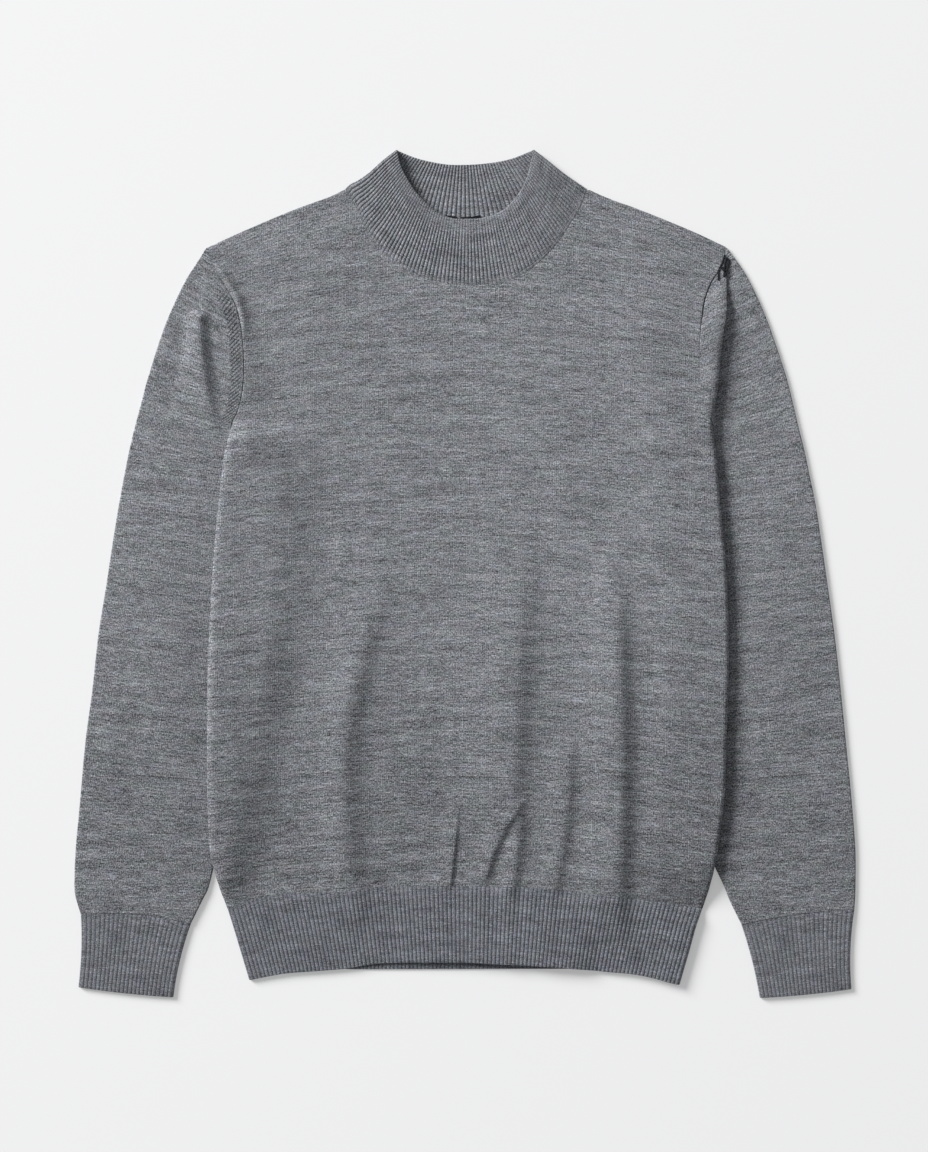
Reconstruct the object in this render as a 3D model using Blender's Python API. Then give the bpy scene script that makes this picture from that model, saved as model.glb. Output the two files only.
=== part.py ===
# Mock neck sweater, laid flat on its back with the sleeves brought down beside the body.
#
# Frame: the floor is z = 0, +Z is up, the neck is towards +Y, and the wearer's front faces up.
# The origin is under the middle of the whole outline. "Left" and "right" are as seen from above.
# Lengths in the tables and constants are millimetres, and meshes are made in metres.
#
# Each piece is a wall of knitted cloth. A panel's wall is a grid of outer and inner points between
# its four edge lines. A sleeve's wall is a flattened tube through a row of sections, cut open along
# the armhole. The collar, cuffs and hem are flattened rings whose outer points carry the ribs.

import math

import bmesh
import bpy
import numpy as np

MM = 0.001

# Cloth
JERSEY = 1.5            # wall of the plain knit
RIB = 2.0               # wall of the hem and cuffs, without the raised ribs
COLLAR = 2.3            # wall of the collar, which is two rib layers folded at the top edge
RIB_RISE = 0.55         # how far a rib stands above the groove beside it
LAYER_GAP = 0.3         # between layers that lie on each other
SEAM = 0.4              # between pieces that are linked edge to edge

# How the layers lie
TUCK_LIFT = 2 * JERSEY + LAYER_GAP + 0.5    # the body's underside above the sleeve tucked beneath it
TUCK_MARGIN = 9.0       # full lift reaches this far past the sleeve's hidden edge
TUCK_SLOPE = 22.0       # and then comes down to the floor over this width
TUCK_RAMP = 23.0        # length over which the lift starts and ends along the side
TUCK_TOP = 138.0        # y where the lift is full, just above the armpit
TUCK_BOTTOM = -270.0    # y where the sleeve has come out from under the body
BODY_LOFT = 2.0         # air between the front and the back in the middle of the body
LOFT_REACH = 60.0       # distance from an edge at which the loft is full
EDGE_ROLL = 1.8         # extra height of the soft side edge that lies on the sleeve
EDGE_ROLL_AT = 8.0      # distance of that height from the edge
SLEEVE_LOFT = 0.9       # air inside the part of a sleeve that shows
FOLD_RADIUS = 4.0       # width over which a folded edge rounds over
ROUND_AT = 0.3          # share of that width at which a middle point rounds it
RIB_BLEND_TOP = -262.0  # y from which the body thickens towards the hem rib
RIB_BLEND = 30.0        # length of that thickening
SHOW_WIDTH = 25.0       # a sleeve reaches its loft this far out from under the body
RIDGE = 3.4             # height of the right sleeve's crease above the sleeve beside it
RIDGE_REACH = 40.0      # the ridge rises from this far inside its crease
RIDGE_TOP = 283.0       # y where the ridge starts, at the shoulder
RIDGE_FULL = 237.0      # y where it has its full height

# Ribs, counted on the side that shows
HEM_RIBS = 92
CUFF_RIBS = 20
COLLAR_FRONT_RIBS = 75
COLLAR_BACK_RIBS = 44
PLAIN_STEP = 18.0       # spacing of the points across a band's plain underside

# Armhole and side of the body, from the shoulder tip down to the hem rib. The first rows are also
# the sleeves' sewn edges, so their count is the number of open sleeve sections.
BODY_ROWS = (  # left x, left y, right x, right y
    (-233.0, 291.0, 234.0, 291.5),
    (-228.6, 282.2, 232.2, 283.9),
    (-224.1, 271.8, 227.7, 271.4),
    (-216.0, 257.9, 220.5, 261.0),
    (-207.9, 243.5, 215.1, 245.2),
    (-203.8, 229.1, 212.4, 229.1),
    (-201.2, 212.0, 211.1, 212.0),
    (-199.8, 190.3, 210.2, 187.7),
    (-200.7, 167.0, 211.5, 163.3),
    (-204.8, 148.1, 216.0, 145.3),
    (-210.6, 133.7, 221.4, 131.0),
    (-216.9, 110.0, 223.6, 110.0),
    (-219.8, 88.0, 225.6, 88.0),
    (-222.7, 62.0, 228.0, 62.0),
    (-226.2, 26.0, 231.2, 26.0),
    (-229.8, -30.0, 234.4, -30.0),
    (-232.4, -90.0, 235.0, -90.0),
    (-233.0, -146.0, 234.0, -146.0),
    (-232.6, -200.0, 231.6, -200.0),
    (-230.5, -246.0, 228.0, -246.0),
    (-226.0, -268.0, 224.0, -268.0),
    (-221.5, -284.0, 219.5, -284.0),
    (-214.7, -301.9, 215.1, -301.9),
)

# Sleeve sections below the armpit: the inner edge is hidden under the body until it comes out
# beside the cuff. The open sections above the armpit take their inner points from BODY_ROWS.
LEFT_CAP_OUTER = (  # outer x, outer y of each open section, and of the armpit's section
    (-235.8, 288.9), (-243.9, 277.7), (-252.0, 265.1), (-261.4, 246.2), (-269.6, 227.2),
    (-275.9, 210.2), (-282.2, 190.3), (-288.4, 169.7), (-294.3, 147.2), (-299.7, 126.5),
    (-304.2, 106.7),
)
RIGHT_CAP_OUTER = (
    (236.7, 290.2), (244.8, 280.4), (252.9, 267.8), (262.8, 248.0), (270.9, 229.1),
    (277.2, 212.0), (283.9, 192.2), (289.8, 172.3), (295.2, 149.0), (300.2, 128.2),
    (304.7, 110.2),
)
LEFT_SLEEVE_ROWS = (  # inner x, inner y, outer x, outer y
    (-203.4, 118.4, -307.8, 88.7),
    (-187.2, 88.7, -313.2, 59.0),
    (-180.0, 52.6, -318.6, 25.7),
    (-180.0, 12.2, -324.0, -10.3),
    (-187.2, -41.9, -331.2, -55.4),
    (-197.1, -95.9, -336.6, -104.9),
    (-207.0, -149.8, -342.9, -151.7),
    (-216.9, -203.8, -347.4, -202.1),
    (-224.1, -248.8, -351.4, -245.2),
    (-231.3, -280.9, -352.8, -275.9),
    (-237.2, -293.9, -351.9, -290.2),
    (-249.8, -315.4, -346.9, -307.4),
)
RIGHT_SLEEVE_ROWS = (
    (213.3, 115.7, 308.7, 91.4),
    (198.9, 86.0, 315.0, 61.6),
    (192.6, 50.0, 320.4, 27.4),
    (192.6, 9.5, 325.8, -9.5),
    (198.0, -43.6, 332.1, -54.5),
    (205.2, -97.7, 337.5, -103.0),
    (212.4, -151.7, 342.4, -151.7),
    (219.6, -203.8, 347.9, -202.1),
    (225.0, -248.8, 351.4, -247.1),
    (233.1, -281.2, 351.4, -275.9),
    (238.5, -296.6, 350.1, -290.2),
    (248.0, -315.9, 348.3, -302.9),
)

# The crease down the right sleeve's cap, which runs on into the body's side edge
CREASE = (  # x, y
    (233.8, 283.0), (233.1, 264.2), (232.2, 237.2), (231.3, 219.2), (228.6, 199.3),
    (226.3, 186.8), (225.0, 167.8), (222.8, 149.0), (222.3, 131.0),
)

# Neck and collar lines, left to right
SHOULDER_LEFT = ((-233.0, 291.0), (-198.0, 309.2), (-155.7, 327.2), (-108.9, 346.9))
SHOULDER_RIGHT = ((108.5, 345.2), (157.5, 327.2), (201.6, 309.2), (234.0, 291.5))
FRONT_NECK_SEAM = (
    (-108.9, 346.9), (-98.1, 328.1), (-90.0, 309.2), (-77.4, 292.9), (-58.5, 276.8),
    (-38.7, 265.9), (-9.9, 260.1), (14.4, 259.7), (38.7, 264.2), (59.4, 275.4),
    (78.3, 292.9), (92.7, 313.7), (102.6, 329.9), (108.5, 345.2),
)
BACK_NECK_SEAM = (
    (-108.9, 346.9), (-81.9, 328.9), (-41.4, 314.6), (0.0, 309.2), (41.4, 313.7),
    (81.0, 328.1), (108.5, 345.2),
)
FRONT_COLLAR_TOP = (
    (-62.1, 381.2), (-58.5, 365.9), (-51.3, 352.4), (-42.3, 339.8), (-26.1, 325.4),
    (-13.5, 319.9), (0.0, 319.1), (14.4, 319.9), (30.6, 325.4), (43.2, 336.2),
    (53.1, 352.4), (57.6, 366.8), (60.8, 381.6),
)
BACK_COLLAR_TOP = (
    (-62.1, 381.2), (-45.0, 373.9), (-26.1, 369.4), (-9.9, 367.7), (14.4, 368.6),
    (38.7, 372.6), (60.8, 381.6),
)
COLLAR_LEFT_SIDE = (  # the folded side, from the shoulder up
    (-108.9, 346.9), (-91.8, 355.1), (-83.7, 362.2), (-73.8, 372.2), (-62.1, 381.2),
)
COLLAR_RIGHT_SIDE = (
    (108.5, 345.2), (91.4, 354.2), (75.6, 365.4), (67.5, 373.9), (60.8, 381.6),
)
COLLAR_SIDE_LIFT = 5.0      # underside of the collar's front at the top edge, at its sides
COLLAR_MIDDLE_LIFT = 4.5    # and in the middle

# Hem rib lines, left to right
HEM_SEAM = (
    (-214.7, -301.9), (-187.2, -292.1), (-149.4, -287.6), (-105.3, -285.8), (-78.3, -282.2),
    (-15.3, -281.2), (50.0, -281.8), (104.0, -286.2), (153.0, -292.1), (185.4, -296.6),
    (215.1, -301.9),
)
HEM_FRONT_EDGE = (
    (-194.4, -364.9), (-164.7, -359.6), (-135.0, -356.9), (-105.3, -354.2), (-75.6, -350.6),
    (-5.4, -349.7), (25.2, -350.6), (89.1, -354.6), (113.4, -357.0), (137.7, -358.2),
    (161.1, -361.4), (177.3, -366.0), (192.2, -369.4),
)
HEM_BACK_EDGE = (
    (-194.4, -364.9), (-149.4, -359.6), (-105.3, -357.3), (-59.4, -355.9), (-5.4, -355.9),
    (48.6, -356.4), (89.1, -357.8), (120.6, -360.9), (156.6, -364.1), (192.2, -369.4),
)
HEM_LEFT_SIDE = ((-214.7, -301.9), (-208.8, -320.9), (-203.4, -338.9), (-194.4, -364.9))
HEM_RIGHT_SIDE = ((215.1, -301.9), (207.9, -318.2), (200.7, -337.9), (192.2, -369.4))

# Cuffs: four corners, and how far each line bows from straight
CUFFS = {
    "cuff_left": {
        "seam": ((-346.9, -307.4), (-249.8, -315.4)), "edge": ((-349.2, -372.2), (-265.5, -380.2)),
        "seam_bow": 5.0, "edge_bow": -1.0, "left_bow": 1.5, "right_bow": -2.5,
    },
    "cuff_right": {
        "seam": ((248.0, -315.9), (348.3, -302.9)), "edge": ((264.6, -381.2), (346.9, -373.5)),
        "seam_bow": 3.0, "edge_bow": -1.0, "left_bow": 1.5, "right_bow": -1.0,
    },
}

# The largest folds. Each runs through three points, top to bottom. Height is negative in a trough.
FRONT_FOLDS = (  # x1, y1, x2, y2, x3, y3, half width, height
    (-162.9, -24.0, -183.6, -132.0, -198.9, -272.0, 20.0, -1.2),
    (-133.2, -96.0, -130.5, -186.0, -126.9, -300.0, 15.0, 1.3),
    (-77.4, 12.0, -102.6, -168.0, -104.4, -310.0, 12.0, -1.3),
    (-45.9, -60.0, -54.9, -186.0, -59.4, -300.0, 18.0, 1.1),
    (-3.6, -195.0, -11.7, -249.0, -14.4, -295.0, 6.0, -1.4),
    (14.4, -150.0, 6.3, -231.0, 0.9, -290.0, 12.0, 1.2),
    (50.4, 12.0, 57.6, -114.0, 17.1, -288.0, 9.0, -1.8),
    (55.8, -217.0, 49.5, -267.0, 41.4, -310.0, 7.0, -1.2),
    (117.9, -60.0, 113.4, -177.0, 105.3, -300.0, 16.0, 1.6),
    (156.6, -15.0, 143.1, -168.0, 134.1, -380.0, 11.0, -2.0),
    (174.6, -60.0, 165.6, -186.0, 162.0, -300.0, 14.0, 1.2),
)
SLEEVE_FOLDS = (
    (-225.9, 276.0, -236.0, 243.0, -249.0, 205.0, 10.0, 1.5),
    (-233.0, 232.0, -228.6, 188.0, -225.9, 145.0, 8.0, -0.9),
    (-262.0, 60.0, -272.0, -60.0, -280.0, -180.0, 26.0, 0.8),
    (268.0, 120.0, 276.0, -20.0, 284.0, -180.0, 26.0, 0.8),
)

# Column positions, as distances in from an edge
PANEL_WIDTH = 430.0
EDGE_STEPS = (0.0, 1.2, 5.0, 14.0)
EDGE_FULLNESS = (0.45, 0.88, 1.0)   # of the wall, at the first points in from a closed edge
SHOULDER_COLUMNS = 8
NECK_COLUMNS = 24
FIRST_ROW = 0.15        # the added row below the shoulder, as a share of the first step down

# The cap of a sleeve's section: shares across its upper and lower layers
CREST_BACK = 1.2        # the crease's point lies this far inside the body's edge
CREST_WIDTH = 2.0       # and the foot of the drop this far outside it
UPPER_POINTS = 5
LOWER_SHARES = (0.8, 0.6, 0.4, 0.2)

# A band's cross-section, from the seam round the free edge and back
RIB_PROFILE = (         # share of the band's length, 0 on the outer skin and 1 on the inner
    (0.0, 0.0), (0.95, 0.0), (1.0, 0.5), (0.96, 1.0), (0.0, 1.0),
)
COLLAR_PROFILE = (
    (0.0, 0.0), (0.45, 0.0), (0.93, 0.0), (1.0, 0.5), (0.94, 1.0), (0.5, 1.0), (0.0, 1.0),
)
SIDE_SHARE_POWER = 6    # how quickly a band's own side line gives way to the straight blend
CUFF_EDGE_LOFT = 0.4    # share of the sleeve's loft at a cuff's sides

COLOURS = {  # base colour, roughness
    "front_panel": ((0.195, 0.202, 0.220), 0.95),
    "back_panel": ((0.190, 0.197, 0.215), 0.95),
    "sleeve_left": ((0.198, 0.205, 0.223), 0.95),
    "sleeve_right": ((0.178, 0.184, 0.200), 0.95),
    "cuff_left": ((0.150, 0.155, 0.172), 0.96),
    "cuff_right": ((0.150, 0.155, 0.172), 0.96),
    "hem_rib": ((0.132, 0.141, 0.159), 0.96),
    "mock_neck_collar": ((0.168, 0.175, 0.192), 0.96),
}


# ---------------------------------------------------------------- curves and heights

def smooth(value):
    """0 to 1 with soft ends."""
    value = min(max(value, 0.0), 1.0)
    return value * value * (3.0 - 2.0 * value)


def curve(points, steps=12):
    """A smooth line through the points, as an array of close points."""
    points = [np.array(p, dtype=float) for p in points]
    ends = [2 * points[0] - points[1]] + points + [2 * points[-1] - points[-2]]
    line = []
    for a, b, c, d in zip(ends, ends[1:], ends[2:], ends[3:]):
        for k in range(steps):
            t = k / steps
            line.append(0.5 * (2 * b + (c - a) * t + (2 * a - 5 * b + 4 * c - d) * t ** 2
                               + (3 * b - a - 3 * c + d) * t ** 3))
    line.append(points[-1])
    return np.array(line)


def along(line, share):
    """The point at this share of a line's length."""
    lengths = np.concatenate(([0.0], np.cumsum(np.hypot(*np.diff(line, axis=0).T))))
    at = share * lengths[-1]
    return np.array((np.interp(at, lengths, line[:, 0]), np.interp(at, lengths, line[:, 1])))


def x_at(line, y):
    """x of a line that runs downwards, at a height on the sheet."""
    return float(np.interp(-y, -line[:, 1], line[:, 0]))


left_side = np.array([(row[0], row[1]) for row in BODY_ROWS])
right_side = np.array([(row[2], row[3]) for row in BODY_ROWS])
crease_line = np.array(CREASE)
shoulder_left = curve(SHOULDER_LEFT)
shoulder_right = curve(SHOULDER_RIGHT)
front_seam = curve(FRONT_NECK_SEAM)
back_seam = curve(BACK_NECK_SEAM)
hem_seam = curve(HEM_SEAM)

ARMPIT_ROW = len(LEFT_CAP_OUTER) - 1
left_sections = ([tuple(BODY_ROWS[k][:2]) + LEFT_CAP_OUTER[k] for k in range(ARMPIT_ROW + 1)]
                 + list(LEFT_SLEEVE_ROWS))
right_sections = ([tuple(BODY_ROWS[k][2:]) + RIGHT_CAP_OUTER[k] for k in range(ARMPIT_ROW + 1)]
                  + list(RIGHT_SLEEVE_ROWS))
left_hidden = np.array([row[:2] for row in left_sections[ARMPIT_ROW:]])
right_hidden = np.array([row[:2] for row in right_sections[ARMPIT_ROW:]])

closed_edges = np.concatenate((
    curve(left_side, 6), curve(right_side, 6), shoulder_left, shoulder_right,
    curve(HEM_LEFT_SIDE), curve(HEM_RIGHT_SIDE)))


def edge_distance(x, y):
    """Distance to the body's nearest folded or sewn edge, leaving out the neck and the hem."""
    return float(np.hypot(closed_edges[:, 0] - x, closed_edges[:, 1] - y).min())


def tuck(x, y):
    """Height of the body's underside, raised where a sleeve lies under it."""
    lengthways = smooth((TUCK_TOP + TUCK_RAMP - y) / TUCK_RAMP)
    lengthways *= smooth((y - TUCK_BOTTOM + TUCK_RAMP) / TUCK_RAMP)
    left = smooth((x_at(left_hidden, y) + TUCK_MARGIN + TUCK_SLOPE - x) / TUCK_SLOPE)
    right = smooth((x - x_at(right_hidden, y) + TUCK_MARGIN + TUCK_SLOPE) / TUCK_SLOPE)
    return TUCK_LIFT * lengthways * max(left, right)


def ridge(x, y):
    """Rise of the front and the sleeve's cap towards the crease down the right side."""
    rise = smooth((RIDGE_TOP - y) / (RIDGE_TOP - RIDGE_FULL))
    slope = (x - x_at(crease_line, y) + RIDGE_REACH) / RIDGE_REACH
    return RIDGE * rise * min(max(slope, 0.0), 1.0)


def folds(table, x, y):
    """Sum of the soft troughs and ridges at a point."""
    height = 0.0
    for x1, y1, x2, y2, x3, y3, half_width, rise in table:
        if not y3 < y < y1:
            continue
        across = (x1 * (y - y2) * (y - y3) / ((y1 - y2) * (y1 - y3))
                  + x2 * (y - y1) * (y - y3) / ((y2 - y1) * (y2 - y3))
                  + x3 * (y - y1) * (y - y2) / ((y3 - y1) * (y3 - y2)))
        fade = smooth((y1 - y) / (0.35 * (y1 - y3))) * smooth((y - y3) / (0.12 * (y1 - y3)))
        height += rise * fade * math.exp(-((x - across) / half_width) ** 2)
    return height


def front_under(x, y):
    """Underside of the front layer of the body, above the back layer."""
    lift = tuck(x, y)
    back_top = lift + JERSEY
    edge = edge_distance(x, y)
    loft = BODY_LOFT * smooth(edge / LOFT_REACH)
    beside = lift / TUCK_LIFT * edge / EDGE_ROLL_AT
    roll = EDGE_ROLL * beside * math.exp(1.0 - edge / EDGE_ROLL_AT)
    thicker_rib = (RIB - JERSEY) * smooth((RIB_BLEND_TOP - y) / RIB_BLEND)
    base = JERSEY + max(lift, ridge(x, y)) + loft + roll + folds(FRONT_FOLDS, x, y)
    return max(base, back_top) + LAYER_GAP + thicker_rib


# ---------------------------------------------------------------- meshes

def collection_named(name):
    group = bpy.data.collections.new(name)
    bpy.context.scene.collection.children.link(group)
    return group


def add_object(name, bm, group):
    """Turn a finished mesh into a named object with its own material."""
    bmesh.ops.recalc_face_normals(bm, faces=bm.faces)
    mesh = bpy.data.meshes.new(name)
    bm.to_mesh(mesh)
    bm.free()
    mesh.shade_smooth()
    mesh.set_sharp_from_angle(angle=math.radians(50))
    obj = bpy.data.objects.new(name, mesh)
    group.objects.link(obj)
    colour, roughness = COLOURS[name]
    material = bpy.data.materials.new(name)
    material.use_nodes = True
    shader = material.node_tree.nodes["Principled BSDF"]
    shader.inputs["Base Color"].default_value = (*colour, 1.0)
    shader.inputs["Roughness"].default_value = roughness
    shader.inputs["Metallic"].default_value = 0.0
    mesh.materials.append(material)
    return obj


def sheet_wall(outer, inner, wrap=False, missing=()):
    """A wall between two grids of points, closed by a rim along every free edge.

    With wrap, the last column joins the first. missing holds (row, column) cells to leave open.
    """
    bm = bmesh.new()
    rows = len(outer)
    columns = len(outer[0])
    cells = [(i, j) for i in range(rows - 1) for j in range(columns if wrap else columns - 1)
             if (i, j) not in missing]
    used = set()
    edges = {}
    for i, j in cells:
        right = (j + 1) % columns
        loop = ((i, j), (i + 1, j), (i + 1, right), (i, right))
        used.update(loop)
        for a, b in zip(loop, loop[1:] + loop[:1]):
            if (b, a) in edges:
                del edges[(b, a)]
            else:
                edges[(a, b)] = True
    outside = {key: bm.verts.new(np.array(outer[key[0]][key[1]]) * MM) for key in sorted(used)}
    inside = {key: bm.verts.new(np.array(inner[key[0]][key[1]]) * MM) for key in sorted(used)}
    for i, j in cells:
        right = (j + 1) % columns
        for loop in (((i, j), (i + 1, j), (i + 1, right)), ((i, j), (i + 1, right), (i, right))):
            bm.faces.new([outside[key] for key in loop])
            bm.faces.new([inside[key] for key in reversed(loop)])
    for a, b in edges:
        bm.faces.new((outside[b], outside[a], inside[a], inside[b]))
    return bm


def ring_wall(sections):
    """A closed band through sections that are each a closed loop of points."""
    bm = bmesh.new()
    loops = [[bm.verts.new(np.array(point) * MM) for point in section] for section in sections]
    for here, there in zip(loops, loops[1:] + loops[:1]):
        for k in range(len(here)):
            after = (k + 1) % len(here)
            bm.faces.new((here[k], there[k], there[after], here[after]))
    return bm


# ---------------------------------------------------------------- body panels

def panel_columns():
    """Shares of the width, with close columns at both sides, and even ones along the neck."""
    count = 2 * SHOULDER_COLUMNS + NECK_COLUMNS
    inner = SHOULDER_COLUMNS / count
    side = [step / PANEL_WIDTH for step in EDGE_STEPS]
    rest = SHOULDER_COLUMNS - len(EDGE_STEPS) + 1
    side += [side[-1] + (inner - side[-1]) * k / rest for k in range(1, rest)]
    middle = [inner + (1 - 2 * inner) * k / NECK_COLUMNS for k in range(NECK_COLUMNS + 1)]
    return side + middle + [1 - share for share in reversed(side)]


def panel_top(neck, share, gap):
    """A point of the panel's upper edge: shoulder, neckline, shoulder."""
    inner = SHOULDER_COLUMNS / (2 * SHOULDER_COLUMNS + NECK_COLUMNS)
    if share < inner:
        return along(shoulder_left, share / inner)
    if share > 1 - inner:
        return along(shoulder_right, (share - 1 + inner) / inner)
    at = (share - inner) / (1 - 2 * inner)
    point = along(neck, at)
    step = along(neck, min(at + 0.01, 1.0)) - along(neck, max(at - 0.01, 0.0))
    outwards = np.array((step[1], -step[0])) / np.hypot(*step)
    return point + gap * outwards


def panel_plan(neck, shares, gap):
    """The panel's grid seen from above: rows of points between its four edge lines."""
    rows = [(np.array(row[:2]) + (SEAM / 2, 0), np.array(row[2:]) - (SEAM / 2, 0))
            for row in BODY_ROWS]
    rows.insert(1, tuple(a + (b - a) * FIRST_ROW for a, b in zip(rows[0], rows[1])))
    top = [panel_top(neck, share, gap) for share in shares]
    bottom = [along(hem_seam, share) + (0, gap) for share in shares]
    top[0], top[-1] = rows[0]
    bottom[0], bottom[-1] = rows[-1][0] + (0, gap), rows[-1][1] + (0, gap)
    rows[-1] = (bottom[0], bottom[-1])
    height = rows[0][0][1] - rows[-1][0][1]
    plan = []
    for left, right in rows:
        down = (rows[0][0][1] - left[1]) / height
        line = []
        for k, share in enumerate(shares):
            corners = ((1 - share) * (1 - down) * top[0] + share * (1 - down) * top[-1]
                       + (1 - share) * down * bottom[0] + share * down * bottom[-1])
            line.append((1 - down) * top[k] + down * bottom[k]
                        + (1 - share) * left + share * right - corners)
        plan.append(line)
    return plan


def rounded(step):
    """How full the wall is this many steps in from a closed edge."""
    return EDGE_FULLNESS[min(step, len(EDGE_FULLNESS) - 1)]


def edge_fullness(i, j, columns, share):
    """Fullness of the wall at a grid point: thin on shoulder and side edges, full on seams."""
    inner = SHOULDER_COLUMNS / (2 * SHOULDER_COLUMNS + NECK_COLUMNS)
    fullness = rounded(min(j, columns - 1 - j))
    if share <= inner or share >= 1 - inner:
        fullness = min(fullness, rounded(i))
    return fullness


def make_front_panel(group):
    shares = panel_columns()
    outer, inner = [], []
    for i, line in enumerate(panel_plan(front_seam, shares, SEAM)):
        heights = [front_under(x, y) for x, y in line]
        inner.append([(x, y, z) for (x, y), z in zip(line, heights)])
        outer.append([(x, y, z + JERSEY * edge_fullness(i, j, len(shares), shares[j]))
                      for j, ((x, y), z) in enumerate(zip(line, heights))])
    add_object("front_panel", sheet_wall(outer, inner), group)


def make_back_panel(group):
    """The back has the front's columns at its sides and every second one across the middle."""
    every = panel_columns()
    shares = [share for k, share in enumerate(every)
              if not SHOULDER_COLUMNS < k < len(every) - 1 - SHOULDER_COLUMNS
              or (k - SHOULDER_COLUMNS) % 2 == 0]
    outer, inner = [], []
    for i, line in enumerate(panel_plan(back_seam, shares, 2 * SEAM)):
        heights = [tuck(x, y) for x, y in line]
        inner.append([(x, y, z + JERSEY) for (x, y), z in zip(line, heights)])
        outer.append([(x, y, z + JERSEY * (1 - edge_fullness(i, j, len(shares), shares[j])))
                      for j, ((x, y), z) in enumerate(zip(line, heights))])
    add_object("back_panel", sheet_wall(outer, inner), group)


# ---------------------------------------------------------------- sleeves

def sleeve_hollow(x, y, side):
    """Air inside the sleeve: none under the body, a little where it shows."""
    body_edge = x_at(left_side if side < 0 else right_side, max(y, BODY_ROWS[-1][1]))
    outwards = side * (x - body_edge)
    air = SLEEVE_LOFT * smooth(outwards / SHOW_WIDTH)
    creased = smooth(2 * outwards / SHOW_WIDTH) * folds(SLEEVE_FOLDS, x, y)
    return LAYER_GAP + max(air + creased, 0.0)


def crease_share(start, end, side):
    """Share of a section's width at which the crease or the body's edge crosses it."""
    body_side = right_side if side > 0 else left_side
    share = 0.1
    for _ in range(4):
        y = start[1] + (end[1] - start[1]) * share
        on_cap = side > 0 and y > CREASE[-1][1]
        edge = x_at(crease_line if on_cap else body_side, y)
        share = (edge - start[0]) / (end[0] - start[0])
    return min(max(share, 0.03), 0.6)


def sleeve_section(row, k, side, seam_bow):
    """One closed loop of (outer point, inner point) round the sleeve, from its inner edge."""
    start, end = np.array(row[:2]), np.array(row[2:])
    width = np.hypot(*(end - start))
    is_open = k < ARMPIT_ROW
    if is_open:
        start = start + (end - start) / width * min(SEAM / 2, 0.2 * width)
    width = np.hypot(*(end - start))
    bow = seam_bow * smooth((k - ARMPIT_ROW - 9) / 3.0)
    rim = min(FOLD_RADIUS, 0.2 * width)
    crest = max(crease_share(start, end, side) - CREST_BACK / width, 1.6 * rim / width)
    foot = crest + min(CREST_WIDTH / width, 0.08)
    rounding, full = ROUND_AT * rim / width, rim / width
    upper = [0.0, rounding, full, crest, foot]
    upper += [foot + (1 - full - foot) * n / UPPER_POINTS for n in range(1, UPPER_POINTS + 1)]
    upper += [1 - rounding, 1.0]
    lower = [1 - rounding, 1 - full, *LOWER_SHARES, full, rounding]
    inset = min(JERSEY / width, 0.2)
    points = []
    for layer, shares in ((1, upper), (-1, lower)):
        for n, share in enumerate(shares):
            fullness = 1.0
            if share > 1 - rim / width:
                fullness = math.sqrt(max(1 - ((share - 1) * width / rim + 1) ** 2, 0.0))
            closed_in = not is_open and share < rim / width
            if closed_in:
                fullness = math.sqrt(max(1 - (1 - share * width / rim) ** 2, 0.0))
            inner_share = share
            if share > 0.5 or not is_open:
                inner_share = inset + share * (1 - 2 * inset)
            pair = []
            for wall, at in ((0.0, share), (1.0, inner_share)):
                x, y = start + (end - start) * at + (0.0, 4 * bow * at * (1 - at))
                if k == len(left_sections) - 1:
                    y += SEAM
                air = sleeve_hollow(x, y, side)
                raised = ridge(x, y) if side > 0 and is_open and layer > 0 and n <= 3 else 0.0
                top = 2 * JERSEY + air + raised
                middle = (2 * JERSEY + air) / 2
                if layer > 0:
                    z = middle + (top - JERSEY * wall - middle) * fullness
                else:
                    z = middle - (middle - JERSEY * wall) * fullness
                pair.append((x, y, z))
            points.append(pair)
    return points


def make_sleeve(name, sections, side, seam_bow, group):
    loops = [sleeve_section(row, k, side, seam_bow) for k, row in enumerate(sections)]
    outer = [[pair[0] for pair in loop] for loop in loops]
    inner = [[pair[1] for pair in loop] for loop in loops]
    last = len(loops[0]) - 1
    missing = {(k, last) for k in range(ARMPIT_ROW)}
    missing |= {(k, 0) for k in range(ARMPIT_ROW)}
    add_object(name, sheet_wall(outer, inner, wrap=True, missing=missing), group)


# ---------------------------------------------------------------- rib bands

def band_shares(width, ribs):
    """Places across one side of a flattened band: (share, distance from the fold, rib or groove)."""
    rim = FOLD_RADIUS
    places = [(ROUND_AT * rim / width, ROUND_AT * rim, 0), (rim / width, rim, 0)]
    count = 2 * ribs if ribs else max(round(width / PLAIN_STEP), 6)
    for k in range(1, count):
        share = (rim + (width - 2 * rim) * k / count) / width
        places.append((share, rim, k % 2 if ribs else 0))
    places += [(1 - rim / width, rim, 0), (1 - ROUND_AT * rim / width, ROUND_AT * rim, 0)]
    return places


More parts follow.
